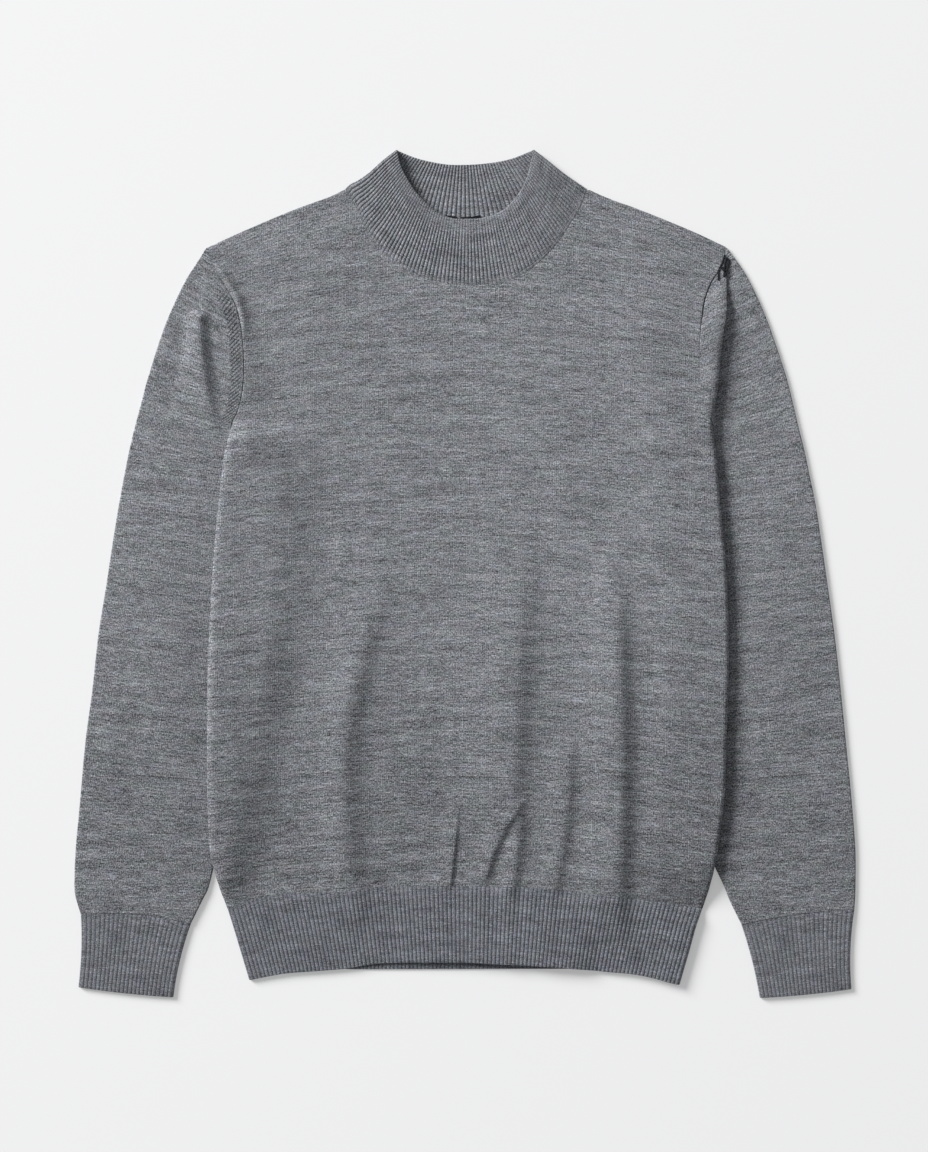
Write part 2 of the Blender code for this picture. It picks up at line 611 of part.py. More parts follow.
def make_band(name, front, back, front_heights, wall, profile, ribs, group):
    """A flattened ring. front and back give the plan point at (share, up the band).

    front_heights gives the front layer's underside there. The back layer lies on the floor.
    ribs holds the number raised on the front's outer face and on the back's inner face.
    """
    width = float(np.hypot(*(front(1.0, 0.0) - front(0.0, 0.0))))
    places = [("fold", 0.0, 0.0, 0)]
    places += [("front", *place) for place in band_shares(width, ribs[0])]
    places += [("fold", 1.0, 0.0, 0)]
    places += [("back", *place) for place in reversed(band_shares(width, ribs[1]))]
    sections = []
    for layer, share, depth, rib in places:
        fullness = math.sqrt(max(1 - (1 - depth / FOLD_RADIUS) ** 2, 0.0))
        section = []
        for up, skin in profile:
            inset = skin * wall / width
            at = inset + share * (1 - 2 * inset)
            plan = back if layer == "back" else front
            x, y = plan(at, up)
            under = front_heights(at, up)
            middle = (under + wall) / 2
            if layer == "front":
                raised = RIB_RISE * rib * (1 - skin)
                z = middle + (under + wall * (1 - skin) + raised - middle) * fullness
            elif layer == "back":
                raised = RIB_RISE * rib * (1.0 if skin == 1.0 else 0.0)
                z = middle - (middle - wall * skin - raised) * fullness
            else:
                z = middle
            section.append((x, y, z))
        sections.append(section)
    add_object(name, ring_wall(sections), group)


def side_corrected(seam, edge, left, right):
    """Plan of a band between its seam and its free edge, with its own two side lines."""
    seam_start, seam_end = along(seam, 0.0), along(seam, 1.0)
    edge_start, edge_end = along(edge, 0.0), along(edge, 1.0)

    def plan(share, up):
        point = (1 - up) * along(seam, share) + up * along(edge, share)
        left_shift = along(left, up) - ((1 - up) * seam_start + up * edge_start)
        right_shift = along(right, up) - ((1 - up) * seam_end + up * edge_end)
        return (point + left_shift * (1 - share) ** SIDE_SHARE_POWER
                + right_shift * share ** SIDE_SHARE_POWER)

    return plan


def make_collar(group):
    left, right = curve(COLLAR_LEFT_SIDE), curve(COLLAR_RIGHT_SIDE)
    front = side_corrected(front_seam, curve(FRONT_COLLAR_TOP), left, right)
    back = side_corrected(back_seam, curve(BACK_COLLAR_TOP), left, right)
    lowest = COLLAR + RIB_RISE + LAYER_GAP

    def heights(share, up):
        seam_x, seam_y = along(front_seam, share)
        middle = math.sin(math.pi * share) ** 2
        low = max(front_under(seam_x, seam_y), lowest * (1 - middle))
        high = COLLAR_SIDE_LIFT + (COLLAR_MIDDLE_LIFT - COLLAR_SIDE_LIFT) * middle
        return low + (high - low) * smooth(up)

    make_band("mock_neck_collar", front, back, heights, COLLAR, COLLAR_PROFILE,
              (COLLAR_FRONT_RIBS, COLLAR_BACK_RIBS), group)


def make_hem(group):
    left, right = curve(HEM_LEFT_SIDE), curve(HEM_RIGHT_SIDE)
    front = side_corrected(hem_seam, curve(HEM_FRONT_EDGE), left, right)
    back = side_corrected(hem_seam, curve(HEM_BACK_EDGE), left, right)

    def heights(share, up):
        return front_under(*front(share, up))

    make_band("hem_rib", front, back, heights, RIB, RIB_PROFILE, (HEM_RIBS, 0), group)


def make_cuff(name, shape, group):
    seam, edge = np.array(shape["seam"]), np.array(shape["edge"])

    def plan(share, up):
        top = seam[0] + (seam[1] - seam[0]) * share
        top = top + (0.0, 4 * shape["seam_bow"] * share * (1 - share))
        bottom = edge[0] + (edge[1] - edge[0]) * share
        bottom = bottom + (0.0, 4 * shape["edge_bow"] * share * (1 - share))
        sides = shape["left_bow"] * (1 - share) + shape["right_bow"] * share
        return (1 - up) * top + up * bottom + (4 * sides * up * (1 - up), 0.0)

    def heights(share, _):
        middle = math.sqrt(math.sin(math.pi * share))
        return RIB + LAYER_GAP + SLEEVE_LOFT * (CUFF_EDGE_LOFT + (1 - CUFF_EDGE_LOFT) * middle)

    make_band(name, plan, plan, heights, RIB, RIB_PROFILE, (CUFF_RIBS, 0), group)


# ---------------------------------------------------------------- the sweater

def main():
    for old in list(bpy.data.objects):
        bpy.data.objects.remove(old, do_unlink=True)
    group = collection_named("mock_neck_sweater")
    make_back_panel(group)
    make_front_panel(group)
    make_sleeve("sleeve_left", left_sections, -1, CUFFS["cuff_left"]["seam_bow"], group)
    make_sleeve("sleeve_right", right_sections, 1, CUFFS["cuff_right"]["seam_bow"], group)
    for name, shape in CUFFS.items():
        make_cuff(name, shape, group)
    make_hem(group)
    make_collar(group)


main()
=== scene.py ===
# Mock neck sweater laid flat. The dictionaries are in millimetres; meshes, sheets and studio in metres.
import math

import bmesh
import bpy
import numpy as np
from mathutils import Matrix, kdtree


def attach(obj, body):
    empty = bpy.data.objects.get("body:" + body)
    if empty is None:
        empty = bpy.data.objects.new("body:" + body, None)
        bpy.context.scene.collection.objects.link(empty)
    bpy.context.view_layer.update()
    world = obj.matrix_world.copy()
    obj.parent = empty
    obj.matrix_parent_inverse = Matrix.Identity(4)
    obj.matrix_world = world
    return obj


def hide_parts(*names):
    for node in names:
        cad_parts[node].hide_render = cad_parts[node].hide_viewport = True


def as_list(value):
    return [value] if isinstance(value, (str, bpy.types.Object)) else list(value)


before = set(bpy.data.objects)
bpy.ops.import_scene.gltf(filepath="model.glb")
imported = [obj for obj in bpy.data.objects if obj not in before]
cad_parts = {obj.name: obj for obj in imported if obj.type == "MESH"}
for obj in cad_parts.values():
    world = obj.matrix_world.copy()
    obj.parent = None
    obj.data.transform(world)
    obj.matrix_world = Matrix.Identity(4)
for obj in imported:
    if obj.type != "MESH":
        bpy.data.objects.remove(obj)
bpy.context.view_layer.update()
mm = 0.001
weldDistance = 0.000002
edgeShares = (0.03, 0.1, 0.22, 0.4, 0.65)  # places of points across a rounded edge
curveSteps = 12  # points of a curve to each point of its table
print("frame loaded")

# the cloth; ribs rise above their walls
cloth = {
    "jersey": 1.5,
    "rib": 1.6,
    "collar": 2,
    "ribRise": 0.55,
    "layerGap": 0.3,
    "seamGap": 0.4,
    "linkGap": 0.04,  # at a linked rib band, and in a closed seam
    "foldRadius": 1.6,  # rounding of a band's folds
    "sleeveRadius": 1.4,  # and of a sleeve's
    "edgeRadius": 2.2,  # rounding of a panel's edges
    "edgeLeast": 0.3,  # share of the wall that is left there
    "shoulderRadius": 3,  # rounding of the front at the shoulders
    "ribBlend": (-262, 30),  # the front thickens towards the hem: from this y, over this length
}
jersey, layerGap = cloth["jersey"], cloth["layerGap"]
# how the body lies over the tucked sleeves
tucked = {
    "lift": 3.8,
    "margin": 9,
    "slope": 22,
    "ramp": 23,
    "top": 116,
    "bottom": -262,
    "frontRamp": 45,  # the front comes down more softly towards the hem
    "frontSlopes": (44, 84),  # and rises more softly over a sleeve, left and right
    "softer": 2.4,  # times as softly beside the left sleeve's upper half
    "softerFrom": (50, 60),
}
# the body's soft side folds, left and right
sideFold = {
    "roll": (4.8, 6.6),  # how far they stand up
    "reach": (58, 44),
    "radius": (7, 6),
    "power": (2, 3.2),  # 2 is round, more is squarer
    "top": (175, 150),
    "over": (35, 45),
}
# the air between two layers
loft = {
    "body": (1.6, 5),  # left and right
    "bodyGrows": (-60, 190),  # from this x, over this width
    "bodyReach": 60,  # full this far from an edge
    "sleeve": 0.9,
    "sleeveShow": 25,  # full this far out from under the body
    "evenReach": 20,  # the front's ripples start beyond this distance from an edge
}
ripples = {  # seed of the draws, wavelengths, height
    "body": (4, (34, 58), 0.22),
    "left": (9, (31, 55), 0.25),
    "right": (7, (31, 55), 0.25),
}
# the crease down the right sleeve's cap, where the front stands up
crease = {
    "height": 12,
    "heightLow": 11.2,  # near the armpit
    "reach": 168,  # the front rises from this far inside
    "bend": 0.6,
    "brow": (0.22, 8),  # share by which the crest rounds down, and its width
    "drop": 1.2,  # width of the drop to the sleeve
    "lean": (3, 10),  # the crest leans this far over the sleeve, growing over this width
    "leanFrom": (140, 25),
    "top": 288,
    "full": 218,
    "end": 20,
    "share": 0.80,  # the cloth turns down this far before it drops
    "close": 4,
    "base": 25,
    "open": (230, 40),  # it no longer turns down above this y, over this length
    "fade": 5,
    "airReturn": 8,
}
# the groove of a sleeve's seam: least opening, then what is added above a y, over a length
seamGroove = {
    "left": (0.25, (0.75, 128, 16)),
    "leftTop": (270, 12),
    "right": (0.22, (0.78, 186, 48), (1.5, 208, 40)),
    "belowArmpit": 12,
    "radius": 1.2,
    "frontShare": 0.6,  # of the wall that it takes from the front
    "sleeveDepth": 0.9,
}

corners = {
    "tipLeft": (-233.6, 293.2), "tipRight": (234.4, 293.9),
    "neckLeft": (-108.9, 346.3), "neckRight": (109, 346.4),
    "collarLeft": (-62.1, 381.2), "collarRight": (60.8, 381.6),
    "seamLeft": (-214.7, -301.9), "seamRight": (212.8, -301.9),
    "hemLeft": (-195.2, -366.2), "hemRight": (192.2, -370.2),
}
# side edges of the body, shoulder tip to hem rib; the first eleven rows are the armhole
bodyRows = (  # left x, left y, right x, right y
    corners["tipLeft"] + corners["tipRight"],
    (-229, 282.8, 232.4, 284.2), (-224.1, 271.8, 227, 271.4), (-216, 257.9, 219.9, 261),
    (-207.9, 243.5, 214, 245.2), (-203.8, 229.1, 211.4, 229.1), (-201.2, 212, 209.9, 212),
    (-199.8, 190.3, 209.4, 187.7), (-200.7, 167, 211, 163.3), (-204.8, 148.1, 216.4, 145.3),
    (-210.6, 133.7, 221.8, 131), (-216.9, 110, 224.4, 110), (-219.8, 88, 226.2, 88),
    (-222.7, 62, 228.6, 62), (-226.2, 26, 232, 26), (-229.8, -30, 235.4, -30),
    (-232.4, -90, 236, -90), (-233, -146, 234, -146), (-232.6, -200, 232.2, -200),
    (-230.5, -246, 226.2, -246), (-226, -268, 222.4, -268), (-221.5, -284, 218.6, -284),
    corners["seamLeft"] + corners["seamRight"],
)
armpitRow = 10
sleeveRows = {  # inner x, inner y, outer x, outer y; the cap's inner points are the armhole's
    "left": (
        (-236.2, 289.6), (-243.9, 277.7), (-252, 265.1), (-261.4, 246.2), (-269.6, 227.2),
        (-275.9, 210.2), (-282.2, 190.3), (-288.4, 169.7), (-294.3, 147.2), (-299.7, 126.5),
        (-304.2, 106.7), (-203.4, 118.4, -307.8, 88.7), (-187.2, 88.7, -313.2, 59),
        (-180, 52.6, -318.6, 25.7), (-180, 12.2, -324, -10.3), (-187.2, -41.9, -331.2, -55.4),
        (-197.1, -95.9, -336.6, -104.9), (-207, -149.8, -342.9, -151.7), (-216.9, -203.8, -347.4, -202.1),
        (-224.1, -248.8, -351.4, -245.2), (-231.3, -280.9, -352.8, -275.9),
        (-237.2, -293.9, -351.9, -290.2), (-247.8, -315.4, -346.9, -307.4),
    ),
    "right": (
        (236.7, 290.9), (244.8, 280.2), (252.9, 267.8), (262.8, 248), (270.9, 229.1),
        (277.1, 212), (283.8, 192.2), (289.9, 172.3), (295.6, 149), (300.5, 128.2), (305, 110.2),
        (213.3, 115.7, 308.9, 91.4), (198.9, 86, 315, 61.6), (192.6, 50, 320.3, 27.4),
        (192.6, 9.5, 325.6, -9.5), (198, -43.6, 331.9, -54.5), (205.2, -97.7, 337.4, -103),
        (212.4, -151.7, 342.2, -151.7), (219.6, -203.8, 347.2, -202.1), (219.2, -248.8, 350.7, -247.1),
        (232.2, -281.2, 350.9, -275.9), (238.5, -296.6, 350.6, -290.2), (248, -315.9, 349.8, -302.9),
    ),
}
capCrease = (
    (234, 283), (233.5, 264.2), (232.1, 237.2), (229.4, 219.2), (227.2, 199.3),
    (226.1, 186.8), (224.4, 167.8), (222.9, 149), (223.6, 131),
)
outlines = {  # two corners, then the points between them
    "shoulderLeft": ("tipLeft", "neckLeft", (-198, 309.4), (-155.7, 327.2), (-122.4, 339.4)),
    "shoulderRight": ("neckRight", "tipRight", (129.6, 337.3), (157.5, 327.2), (201.6, 309.2)),
    "frontNeck": (
        "neckLeft", "neckRight", (-98.1, 328.1), (-90, 309.2), (-77.4, 292.9), (-58.5, 276.8),
        (-38.7, 265.9), (-9.9, 260.1), (14.4, 259.7), (38.7, 264.2), (59.4, 275.4), (78.3, 292.9),
        (92.7, 313.7), (102.6, 329.9),
    ),
    "backNeck": (
        "neckLeft", "neckRight", (-81.9, 328.9), (-41.4, 314.6), (0, 309.2), (41.4, 313.7), (81, 328.1),
    ),
    "frontCollar": (
        "collarLeft", "collarRight", (-58.5, 365.9), (-51.3, 352.4), (-42.3, 339.8), (-26.1, 325.4),
        (-13.5, 319.9), (0, 319.1), (14.4, 319.9), (30.6, 325.4), (43.2, 336.2), (53.1, 352.4),
        (57.6, 366.8),
    ),
    "backCollar": (
        "collarLeft", "collarRight", (-45, 374.4), (-26.1, 369.9), (-9.9, 368.2), (14.4, 369.1),
        (38.7, 373.1),
    ),
    "collarSideLeft": (
        "neckLeft", "collarLeft", (-104.4, 350.6), (-96.5, 354.4), (-86.4, 361.6), (-74.2, 372.2),
    ),
    "collarSideRight": ("neckRight", "collarRight", (97.6, 353.9), (86.5, 361.6), (73.1, 372.3)),
    "hemSeam": (
        "seamLeft", "seamRight", (-187.2, -292.1), (-149.4, -287.6), (-105.3, -285.8), (-78.3, -282.2),
        (-15.3, -281.2), (50, -281.8), (104, -286.2), (153, -292.1), (185.4, -296.6),
    ),
    "frontHem": (
        "hemLeft", "hemRight", (-164.7, -360.4), (-135, -358), (-105.3, -355.4), (-75.6, -351),
        (-5.4, -350.2), (25.2, -351.4), (60, -353), (93.6, -355.3), (111.6, -357), (129.6, -358.9),
        (147.6, -360.5), (165.6, -363.5), (183.6, -368.4),
    ),
    "backHem": (
        "hemLeft", "hemRight", (-149.4, -357.4), (-118, -355), (-105.3, -356.5), (-59.4, -356.4),
        (-5.4, -356.3), (48.6, -356.2), (75.6, -356.2), (93.6, -356.2), (111.6, -356.8), (129.6, -358.2),
        (156.6, -361.4),
    ),
    "hemSideLeft": ("seamLeft", "hemLeft", (-208.8, -320.9), (-203.4, -338.9)),
    "hemSideRight": ("seamRight", "hemRight", (207, -318.2), (201.6, -337.9)),
}


def unit(value):
    return np.clip(value, 0, 1)


def smooth(value):
    value = unit(value)
    return value * value * (3 - 2 * value)


def rising(value, start, over):
    return smooth((value - start) / over)


def falling(value, start, over):
    return smooth((start - value) / over)


def bell(value):
    return np.exp(-value * value)


def fullness(edge, radius, power=2):
    # how far a rounded edge has risen at a distance from it, 0 to 1
    return unit(1 - (1 - unit(edge / radius)) ** power) ** (1 / power)


def curveThrough(points, count=curveSteps):
    points = [np.array(p, dtype=float) for p in points]
    ends = [2 * points[0] - points[1]] + points + [2 * points[-1] - points[-2]]
    line = []
    for a, b, c, d in zip(ends, ends[1:], ends[2:], ends[3:]):
        for k in range(count):
            t = k / count
            line.append(0.5 * (2 * b + (c - a) * t + (2 * a - 5 * b + 4 * c - d) * t ** 2
                               + (3 * b - a - 3 * c + d) * t ** 3))
    line.append(points[-1])
    return np.array(line)


def pairs(x, y):
    return np.stack([x, y], axis=-1)


def readLine(line, places, at):
    return np.stack([np.interp(at, places, line[:, k]) for k in range(line.shape[1])], axis=-1)


def pointAt(line, share):
    # points at these shares of a line's length
    lengths = np.concatenate(([0], np.cumsum(np.hypot(*np.diff(line, axis=0).T))))
    return readLine(line, lengths, np.asarray(share) * lengths[-1])


def rowAt(table, row):
    # a table's row at a position between its rows, on a smooth curve
    line = curveThrough(table)
    return readLine(line, np.arange(len(line)), np.asarray(row) * curveSteps)


def xAt(line, y):
    # x of a line that runs down the cloth
    return np.interp(-y, -line[:, 1], line[:, 0])


def steps(start, end, *stretches):
    # positions from start to end by stretches (from, to, spacing), the last one for the rest
    places = [start]
    while places[-1] < end - 1e-6:
        here = places[-1]
        size = next((s[2] for s in stretches[:-1] if s[0] <= here < s[1]), stretches[-1][2])
        places.append(min(here + size, end))
    if len(places) > 2 and places[-1] - places[-2] < 0.3 * (places[-2] - places[-3]):
        places.pop(-2)
    return np.array(places)


leftSide = curveThrough([row[:2] for row in bodyRows])
rightSide = curveThrough([row[2:] for row in bodyRows])
creaseLine = curveThrough(capCrease)
lines = {name: curveThrough([corners[start], *between, corners[end]])
         for name, (start, end, *between) in outlines.items()}
sections = {}
hiddenEdge = {}  # a sleeve's edge under the body
for side, columns in (("left", slice(0, 2)), ("right", slice(2, 4))):
    rows = sleeveRows[side]
    sections[side] = [bodyRows[k][columns] + rows[k] if k <= armpitRow else rows[k]
                      for k in range(len(rows))]
    hiddenEdge[side] = curveThrough([row[:2] for row in sections[side][armpitRow:]])


def distanceTo(*pieces):
    # distance from the nearest of these lines; each has its count of points
    points = np.concatenate([pointAt(line, np.linspace(0, 1, count)) for line, count in pieces])
    tree = kdtree.KDTree(len(points))
    for k, point in enumerate(points):
        tree.insert((point[0], point[1], 0), k)
    tree.balance()

    def distance(x, y):
        found = [tree.find((a, b, 0))[2] for a, b in zip(x.ravel(), y.ravel())]
        return np.array(found).reshape(x.shape)

    return distance


# where the body is folded or joined front to back, and where a sleeve is sewn on
armpit = armpitRow * curveSteps
foldDistance = distanceTo(
    (leftSide[armpit:], 450), (rightSide[armpit:], 450),
    (lines["shoulderLeft"], 150), (lines["shoulderRight"], 150),
    (lines["hemSideLeft"], 80), (lines["hemSideRight"], 80))
armDistance = distanceTo((leftSide[:armpit + 1], 220), (rightSide[:armpit + 1], 220))


def seamOpen(y, isRight):
    # how far the groove of a sleeve's seam opens
    def opening(least, *added):
        return sum((more * rising(y, start, over) for more, start, over in added), least)

    left = falling(y, *seamGroove["leftTop"]) * opening(*seamGroove["left"])
    shown = np.where(isRight, opening(*seamGroove["right"]), left)
    return shown * np.where(y > bodyRows[armpitRow][1] - seamGroove["belowArmpit"], 1, 0)


def seamHalf(y, isRight):
    return cloth["linkGap"] + (cloth["seamGap"] / 2 - cloth["linkGap"]) * seamOpen(y, isRight)


# folds: three points on the crest, width on its left and right, height, length of the fade
# at the top and bottom, and the share kept below it
frontFolds = (
    (-83.5, -23.9, -107, -131.9, -103.5, -280.4, 20, 14, 5.3, 180, 40, 0.30, 50, -300),
    (46.5, 30.2, 43.5, -104.9, 38.6, -194.9, 38, 15, 5.7, 160, 70, 0, 60, -250),
    (133, -23.9, 137.5, -149.9, 136, -275.9, 28, 11, 7.4, 130, 50, 0.50, 40, -310),
    (-5.5, -199.4, -10.5, -248.9, -14.4, -283.1, 12, 1.7, 2.2, 66, 10, 0, -190, -286),
    (51, -203.9, 35, -228.2, 16.7, -275.9, 13, 4.5, 3.2, 26, 16, 0.10, -196, -284),
    (47.7, -217.4, 45, -248.9, 40.5, -280.4, 9, 7, 3.5, 36, 20, 0.20, -200, -300),
    (92, -150, 88, -226, 78.5, -280, 16, 7, 3.4, 70, 20, 0.20, -120, -296),
    (181.8, -113.9, 178.2, -185.9, 172.8, -266.9, 13, 12, 0.9, 80, 30, 0.30, -60, -300),
    (-213, -20, -216, -120, -217, -250, 25, 20, 1.4, 90, 60, 0, 20, -260),
    (-220.5, 272, -206, 247, -200, 222, 3.2, 5, 4, 14, 30, 0, 284, 205),
    (-203, 215, -202, 190, -199, 138, 13, 18, 3.5, 25, 50, 0, 236, 85),
)
sleeveFolds = (
    (-248.4, 259.7, -251.1, 232.7, -261, 190.4, 8, 8, -2.6, 25, 60, 0, 277, 135),
    (-240.5, 232, -238.5, 200, -229, 138, 16, 6, 4.8, 11, 100, 0, 240, 100),
    (-226.8, 232.7, -224.1, 196.7, -217.8, 147.2, 8, 8, -1.1, 22, 50, 0, 246, 118),
    (-262, 60, -272, -60, -280, -180, 26, 26, 0.8, 90, 80, 0, 70, -230),
    (268, 120, 276, -20, 284, -180, 26, 26, 0.8, 90, 80, 0, 120, -230),
)


def foldHeight(table, x, y):
    height = np.zeros_like(x)
    for fold in table:
        wideLeft, wideRight, rise, fadeTop, fadeBottom, kept, top, bottom = fold[6:]
        crest = np.polyfit(fold[1:6:2], fold[:6:2], 2)
        away = x - np.polyval(crest, np.clip(y, fold[5] - 20, fold[1] + 20))
        fade = falling(y, top, fadeTop) * (kept + (1 - kept) * rising(y, bottom, fadeBottom))
        height += rise * fade * bell(away / np.where(away < 0, wideLeft, wideRight))
    return height


def ripple(x, y, seed, lengths, size):
    # soft unevenness from a few crossing waves
    rng = np.random.default_rng(seed)
    total = np.zeros_like(x)
    for length in lengths:
        for _ in range(3):
            angle = rng.uniform(-0.6, 0.6)
            phase = rng.uniform(0, 2 * math.pi)
            along = (x * math.cos(angle) + y * math.sin(angle)) / length
            total += np.sin(2 * math.pi * along + phase + 1.3 * np.sin(y / (3.1 * length) + phase))
    return size * total / (3 * len(lengths))


def tuck(x, y, ramp=tucked["ramp"], slopes=(tucked["slope"],) * 2):
    # how high the body lies over the sleeves that are under it
    lengthways = falling(y, tucked["top"] + tucked["ramp"], tucked["ramp"])
    lengthways = lengthways * smooth((y - tucked["bottom"]) / ramp + 1)
    left = smooth((xAt(hiddenEdge["left"], y) + tucked["margin"] - x) / slopes[0] + 1)
    right = smooth((x - xAt(hiddenEdge["right"], y) + tucked["margin"]) / slopes[1] + 1)
    return tucked["lift"] * lengthways * np.maximum(left, right)


def ridge(x, y):
    # how high the front stands up towards the crease
    armpitY = capCrease[-1][1]
    rise = falling(y, crease["top"], crease["top"] - crease["full"])
    rise = rise * rising(y, crease["end"], armpitY - crease["end"])
    low = falling(y, crease["full"], crease["full"] - armpitY)
    height = crease["height"] + (crease["heightLow"] - crease["height"]) * low
    inside = xAt(creaseLine, y) - x
    slope = unit(1 - inside / crease["reach"])
    slope = slope * slope * (1 + crease["bend"] - crease["bend"] * slope)
    share, width = crease["brow"]
    brow = 1 - share * unit(1 - inside / width) ** 2
    drop = 1 - smooth(-inside / crease["drop"])
    return height * rise * slope * brow * drop


def creaseClosing(x, y):
    # the cloth turns down towards the crease above the right armpit
    armpitY = bodyRows[armpitRow][3]
    least = crease["share"] * rising(y, armpitY, crease["base"])
    turned = least + (1 - least) * fullness(xAt(creaseLine, y) - x, crease["close"])
    turned = 1 - (1 - turned) * falling(y, *crease["open"])
    return np.where((x > 0) & (y > armpitY), turned, 1)


def frontUnder(x, y):
    # underside of the body's front layer
    edge = foldDistance(x, y)
    fold = {key: np.where(x > 0, right, left) for key, (left, right) in sideFold.items()}
    left, right = tucked["frontSlopes"]
    softer = 1 + (tucked["softer"] - 1) * rising(y, *tucked["softerFrom"])
    lift = tuck(x, y, tucked["frontRamp"], (left * softer, right))
    backTop = tuck(x, y) + jersey
    outside = (x > xAt(rightSide, y)) | (x < xAt(leftSide, y))
    nearest = np.minimum(edge, np.where(outside, 0, armDistance(x, y)))
    low, high = loft["body"]
    air = (low + (high - low) * rising(x, *loft["bodyGrows"])) * smooth(nearest / loft["bodyReach"])
    lower = falling(y, fold["top"], fold["over"])
    roll = fold["roll"] * lower * (lift / tucked["lift"]) * bell(edge / fold["reach"])
    thicker = (cloth["rib"] - jersey) * falling(y, *cloth["ribBlend"])
    uneven = smooth(nearest / loft["evenReach"]) * ripple(x, y, *ripples["body"])
    wanted = jersey + np.maximum(lift + roll, ridge(x, y)) + air + uneven
    wanted = np.maximum(wanted + foldHeight(frontFolds, x, y), backTop)
    radius = cloth["shoulderRadius"] + (fold["radius"] - cloth["shoulderRadius"]) * lower
    closing = fullness(edge, radius, 2 + (fold["power"] - 2) * lower) * creaseClosing(x, y)
    return backTop + (wanted - backTop) * closing + layerGap + thicker


def newObject(name, data):
    item = bpy.data.objects.new(name, data)
    bpy.context.scene.collection.objects.link(item)
    return item


# meshes from grids of points

def addPiece(name, points, faces, uvs):
    # uvs holds one pair a vertex for each named map
    mesh = bpy.data.meshes.new(name)
    mesh.from_pydata((np.asarray(points) * mm).tolist(), [], faces)
    vertexOf = np.zeros(len(mesh.loops), dtype=np.int32)
    mesh.loops.foreach_get("vertex_index", vertexOf)
    for mapName, values in uvs.items():
        layer = mesh.uv_layers.new(name=mapName)
        layer.data.foreach_set("uv", np.asarray(values, dtype=np.float32)[vertexOf].ravel())
    bm = bmesh.new()
    bm.from_mesh(mesh)
    bmesh.ops.remove_doubles(bm, verts=bm.verts, dist=weldDistance)
    bmesh.ops.recalc_face_normals(bm, faces=bm.faces)
    bm.to_mesh(mesh)
    bm.free()
    mesh.shade_smooth()
    mesh.set_sharp_from_angle(angle=1)  # rims stay crisp
    return newObject(name, mesh)


def wallPiece(name, outer, inner, uvs, lastRim=None):
    # a wall between two grids, with rims along its ends and down its sides to the last rim
    rows, columns = outer.shape[:2]
    count = rows * columns
    index = np.arange(count).reshape(rows, columns)
    left, right = index[:, :-1], index[:, 1:]
    outside = np.stack([left[:-1], left[1:], right[1:], right[:-1]], axis=-1).reshape(-1, 4)
    faces = [outside, outside[:, ::-1] + count]
    for row, turn in ((0, 1), (rows - 1, -1)):
        edge = np.stack([left[row], right[row], right[row] + count, left[row] + count], axis=-1)
        faces.append(edge[:, ::turn])
    rimRows = rows if lastRim is None else lastRim + 1
    for column, turn in ((0, -1), (columns - 1, 1)):
        line = index[:rimRows, column]
        edge = np.stack([line[:-1], line[1:], line[1:] + count, line[:-1] + count], axis=-1)
        faces.append(edge[:, ::turn])
    points = np.concatenate([outer.reshape(-1, 3), inner.reshape(-1, 3)])
    both = {key: np.concatenate([value.reshape(-1, 2)] * 2) for key, value in uvs.items()}
    return addPiece(name, points, np.concatenate(faces).tolist(), both)


def ringPiece(name, points, uvs):
    # a closed band: a grid that wraps around it and along its section
    around, along = points.shape[:2]
    index = np.arange(around * along).reshape(around, along)
    after, nextOne = np.roll(index, -1, axis=0), np.roll(index, -1, axis=1)
    both = np.roll(after, -1, axis=1)
    faces = np.stack([index, after, both, nextOne], axis=-1).reshape(-1, 4)
    flat = {key: value.reshape(-1, 2) for key, value in uvs.items()}
    return addPiece(name, points.reshape(-1, 3), faces.tolist(), flat)


# the two body panels

panel = {
    "width": 430,
    "shoulderShare": 0.2,
    "spacing": 2.9,  # of points across, and of rows
    "rowSpacing": 3,
    "creaseSpacing": 1,
    "creases": ((197, 212), (229, 275)),  # across, where the sharp folds are
    "near": (0, 0.25, 0.6, 1.1, 1.8, 2.7, 4, 5.8, 8.2, 11),  # points beside an edge
    "nearTop": 7,  # how many of them the top has
    "afterTop": 6,
    "neckOpen": 0.30,  # the groove that shows along the right half of the neck seam
    "neckOpenFrom": (0.60, 0.06),
    "bow": (0.00030, 0.00090),  # of the rows of stitches, low and high on the body
    "bowTop": (130, 190),
}


def bodyUv(x, y):
    low, high = panel["bow"]
    bow = low + (high - low) * rising(y, *panel["bowTop"])
    return pairs(x, y + bow * x * x)


def panelShares(fine):
    near = list(panel["near"])
    creases = [(start, end, panel["creaseSpacing"]) for start, end in panel["creases"] if fine]
    usual = panel["spacing"] if fine else 2 * panel["spacing"]
    middle = steps(near[-1], panel["width"] - near[-1], *creases, (0, 0, usual))
    far = [panel["width"] - p for p in reversed(near)]
    return np.concatenate([near[:-1], middle, far[1:]]) / panel["width"]


def panelTop(neck, share, neckOpen):
    inner = panel["shoulderShare"]
    left = pointAt(lines["shoulderLeft"], unit(share / inner))
    right = pointAt(lines["shoulderRight"], unit((share - 1 + inner) / inner))
    at = unit((share - inner) / (1 - 2 * inner))
    step = pointAt(neck, unit(at + 0.01)) - pointAt(neck, unit(at - 0.01))
    outwards = pairs(step[:, 1], -step[:, 0]) / np.hypot(*step.T)[:, None]
    apart = cloth["linkGap"] + neckOpen * rising(at, *panel["neckOpenFrom"])
    middle = pointAt(neck, at) + apart[:, None] * outwards
    return np.where((share < inner)[:, None], left, np.where((share > 1 - inner)[:, None], right, middle))


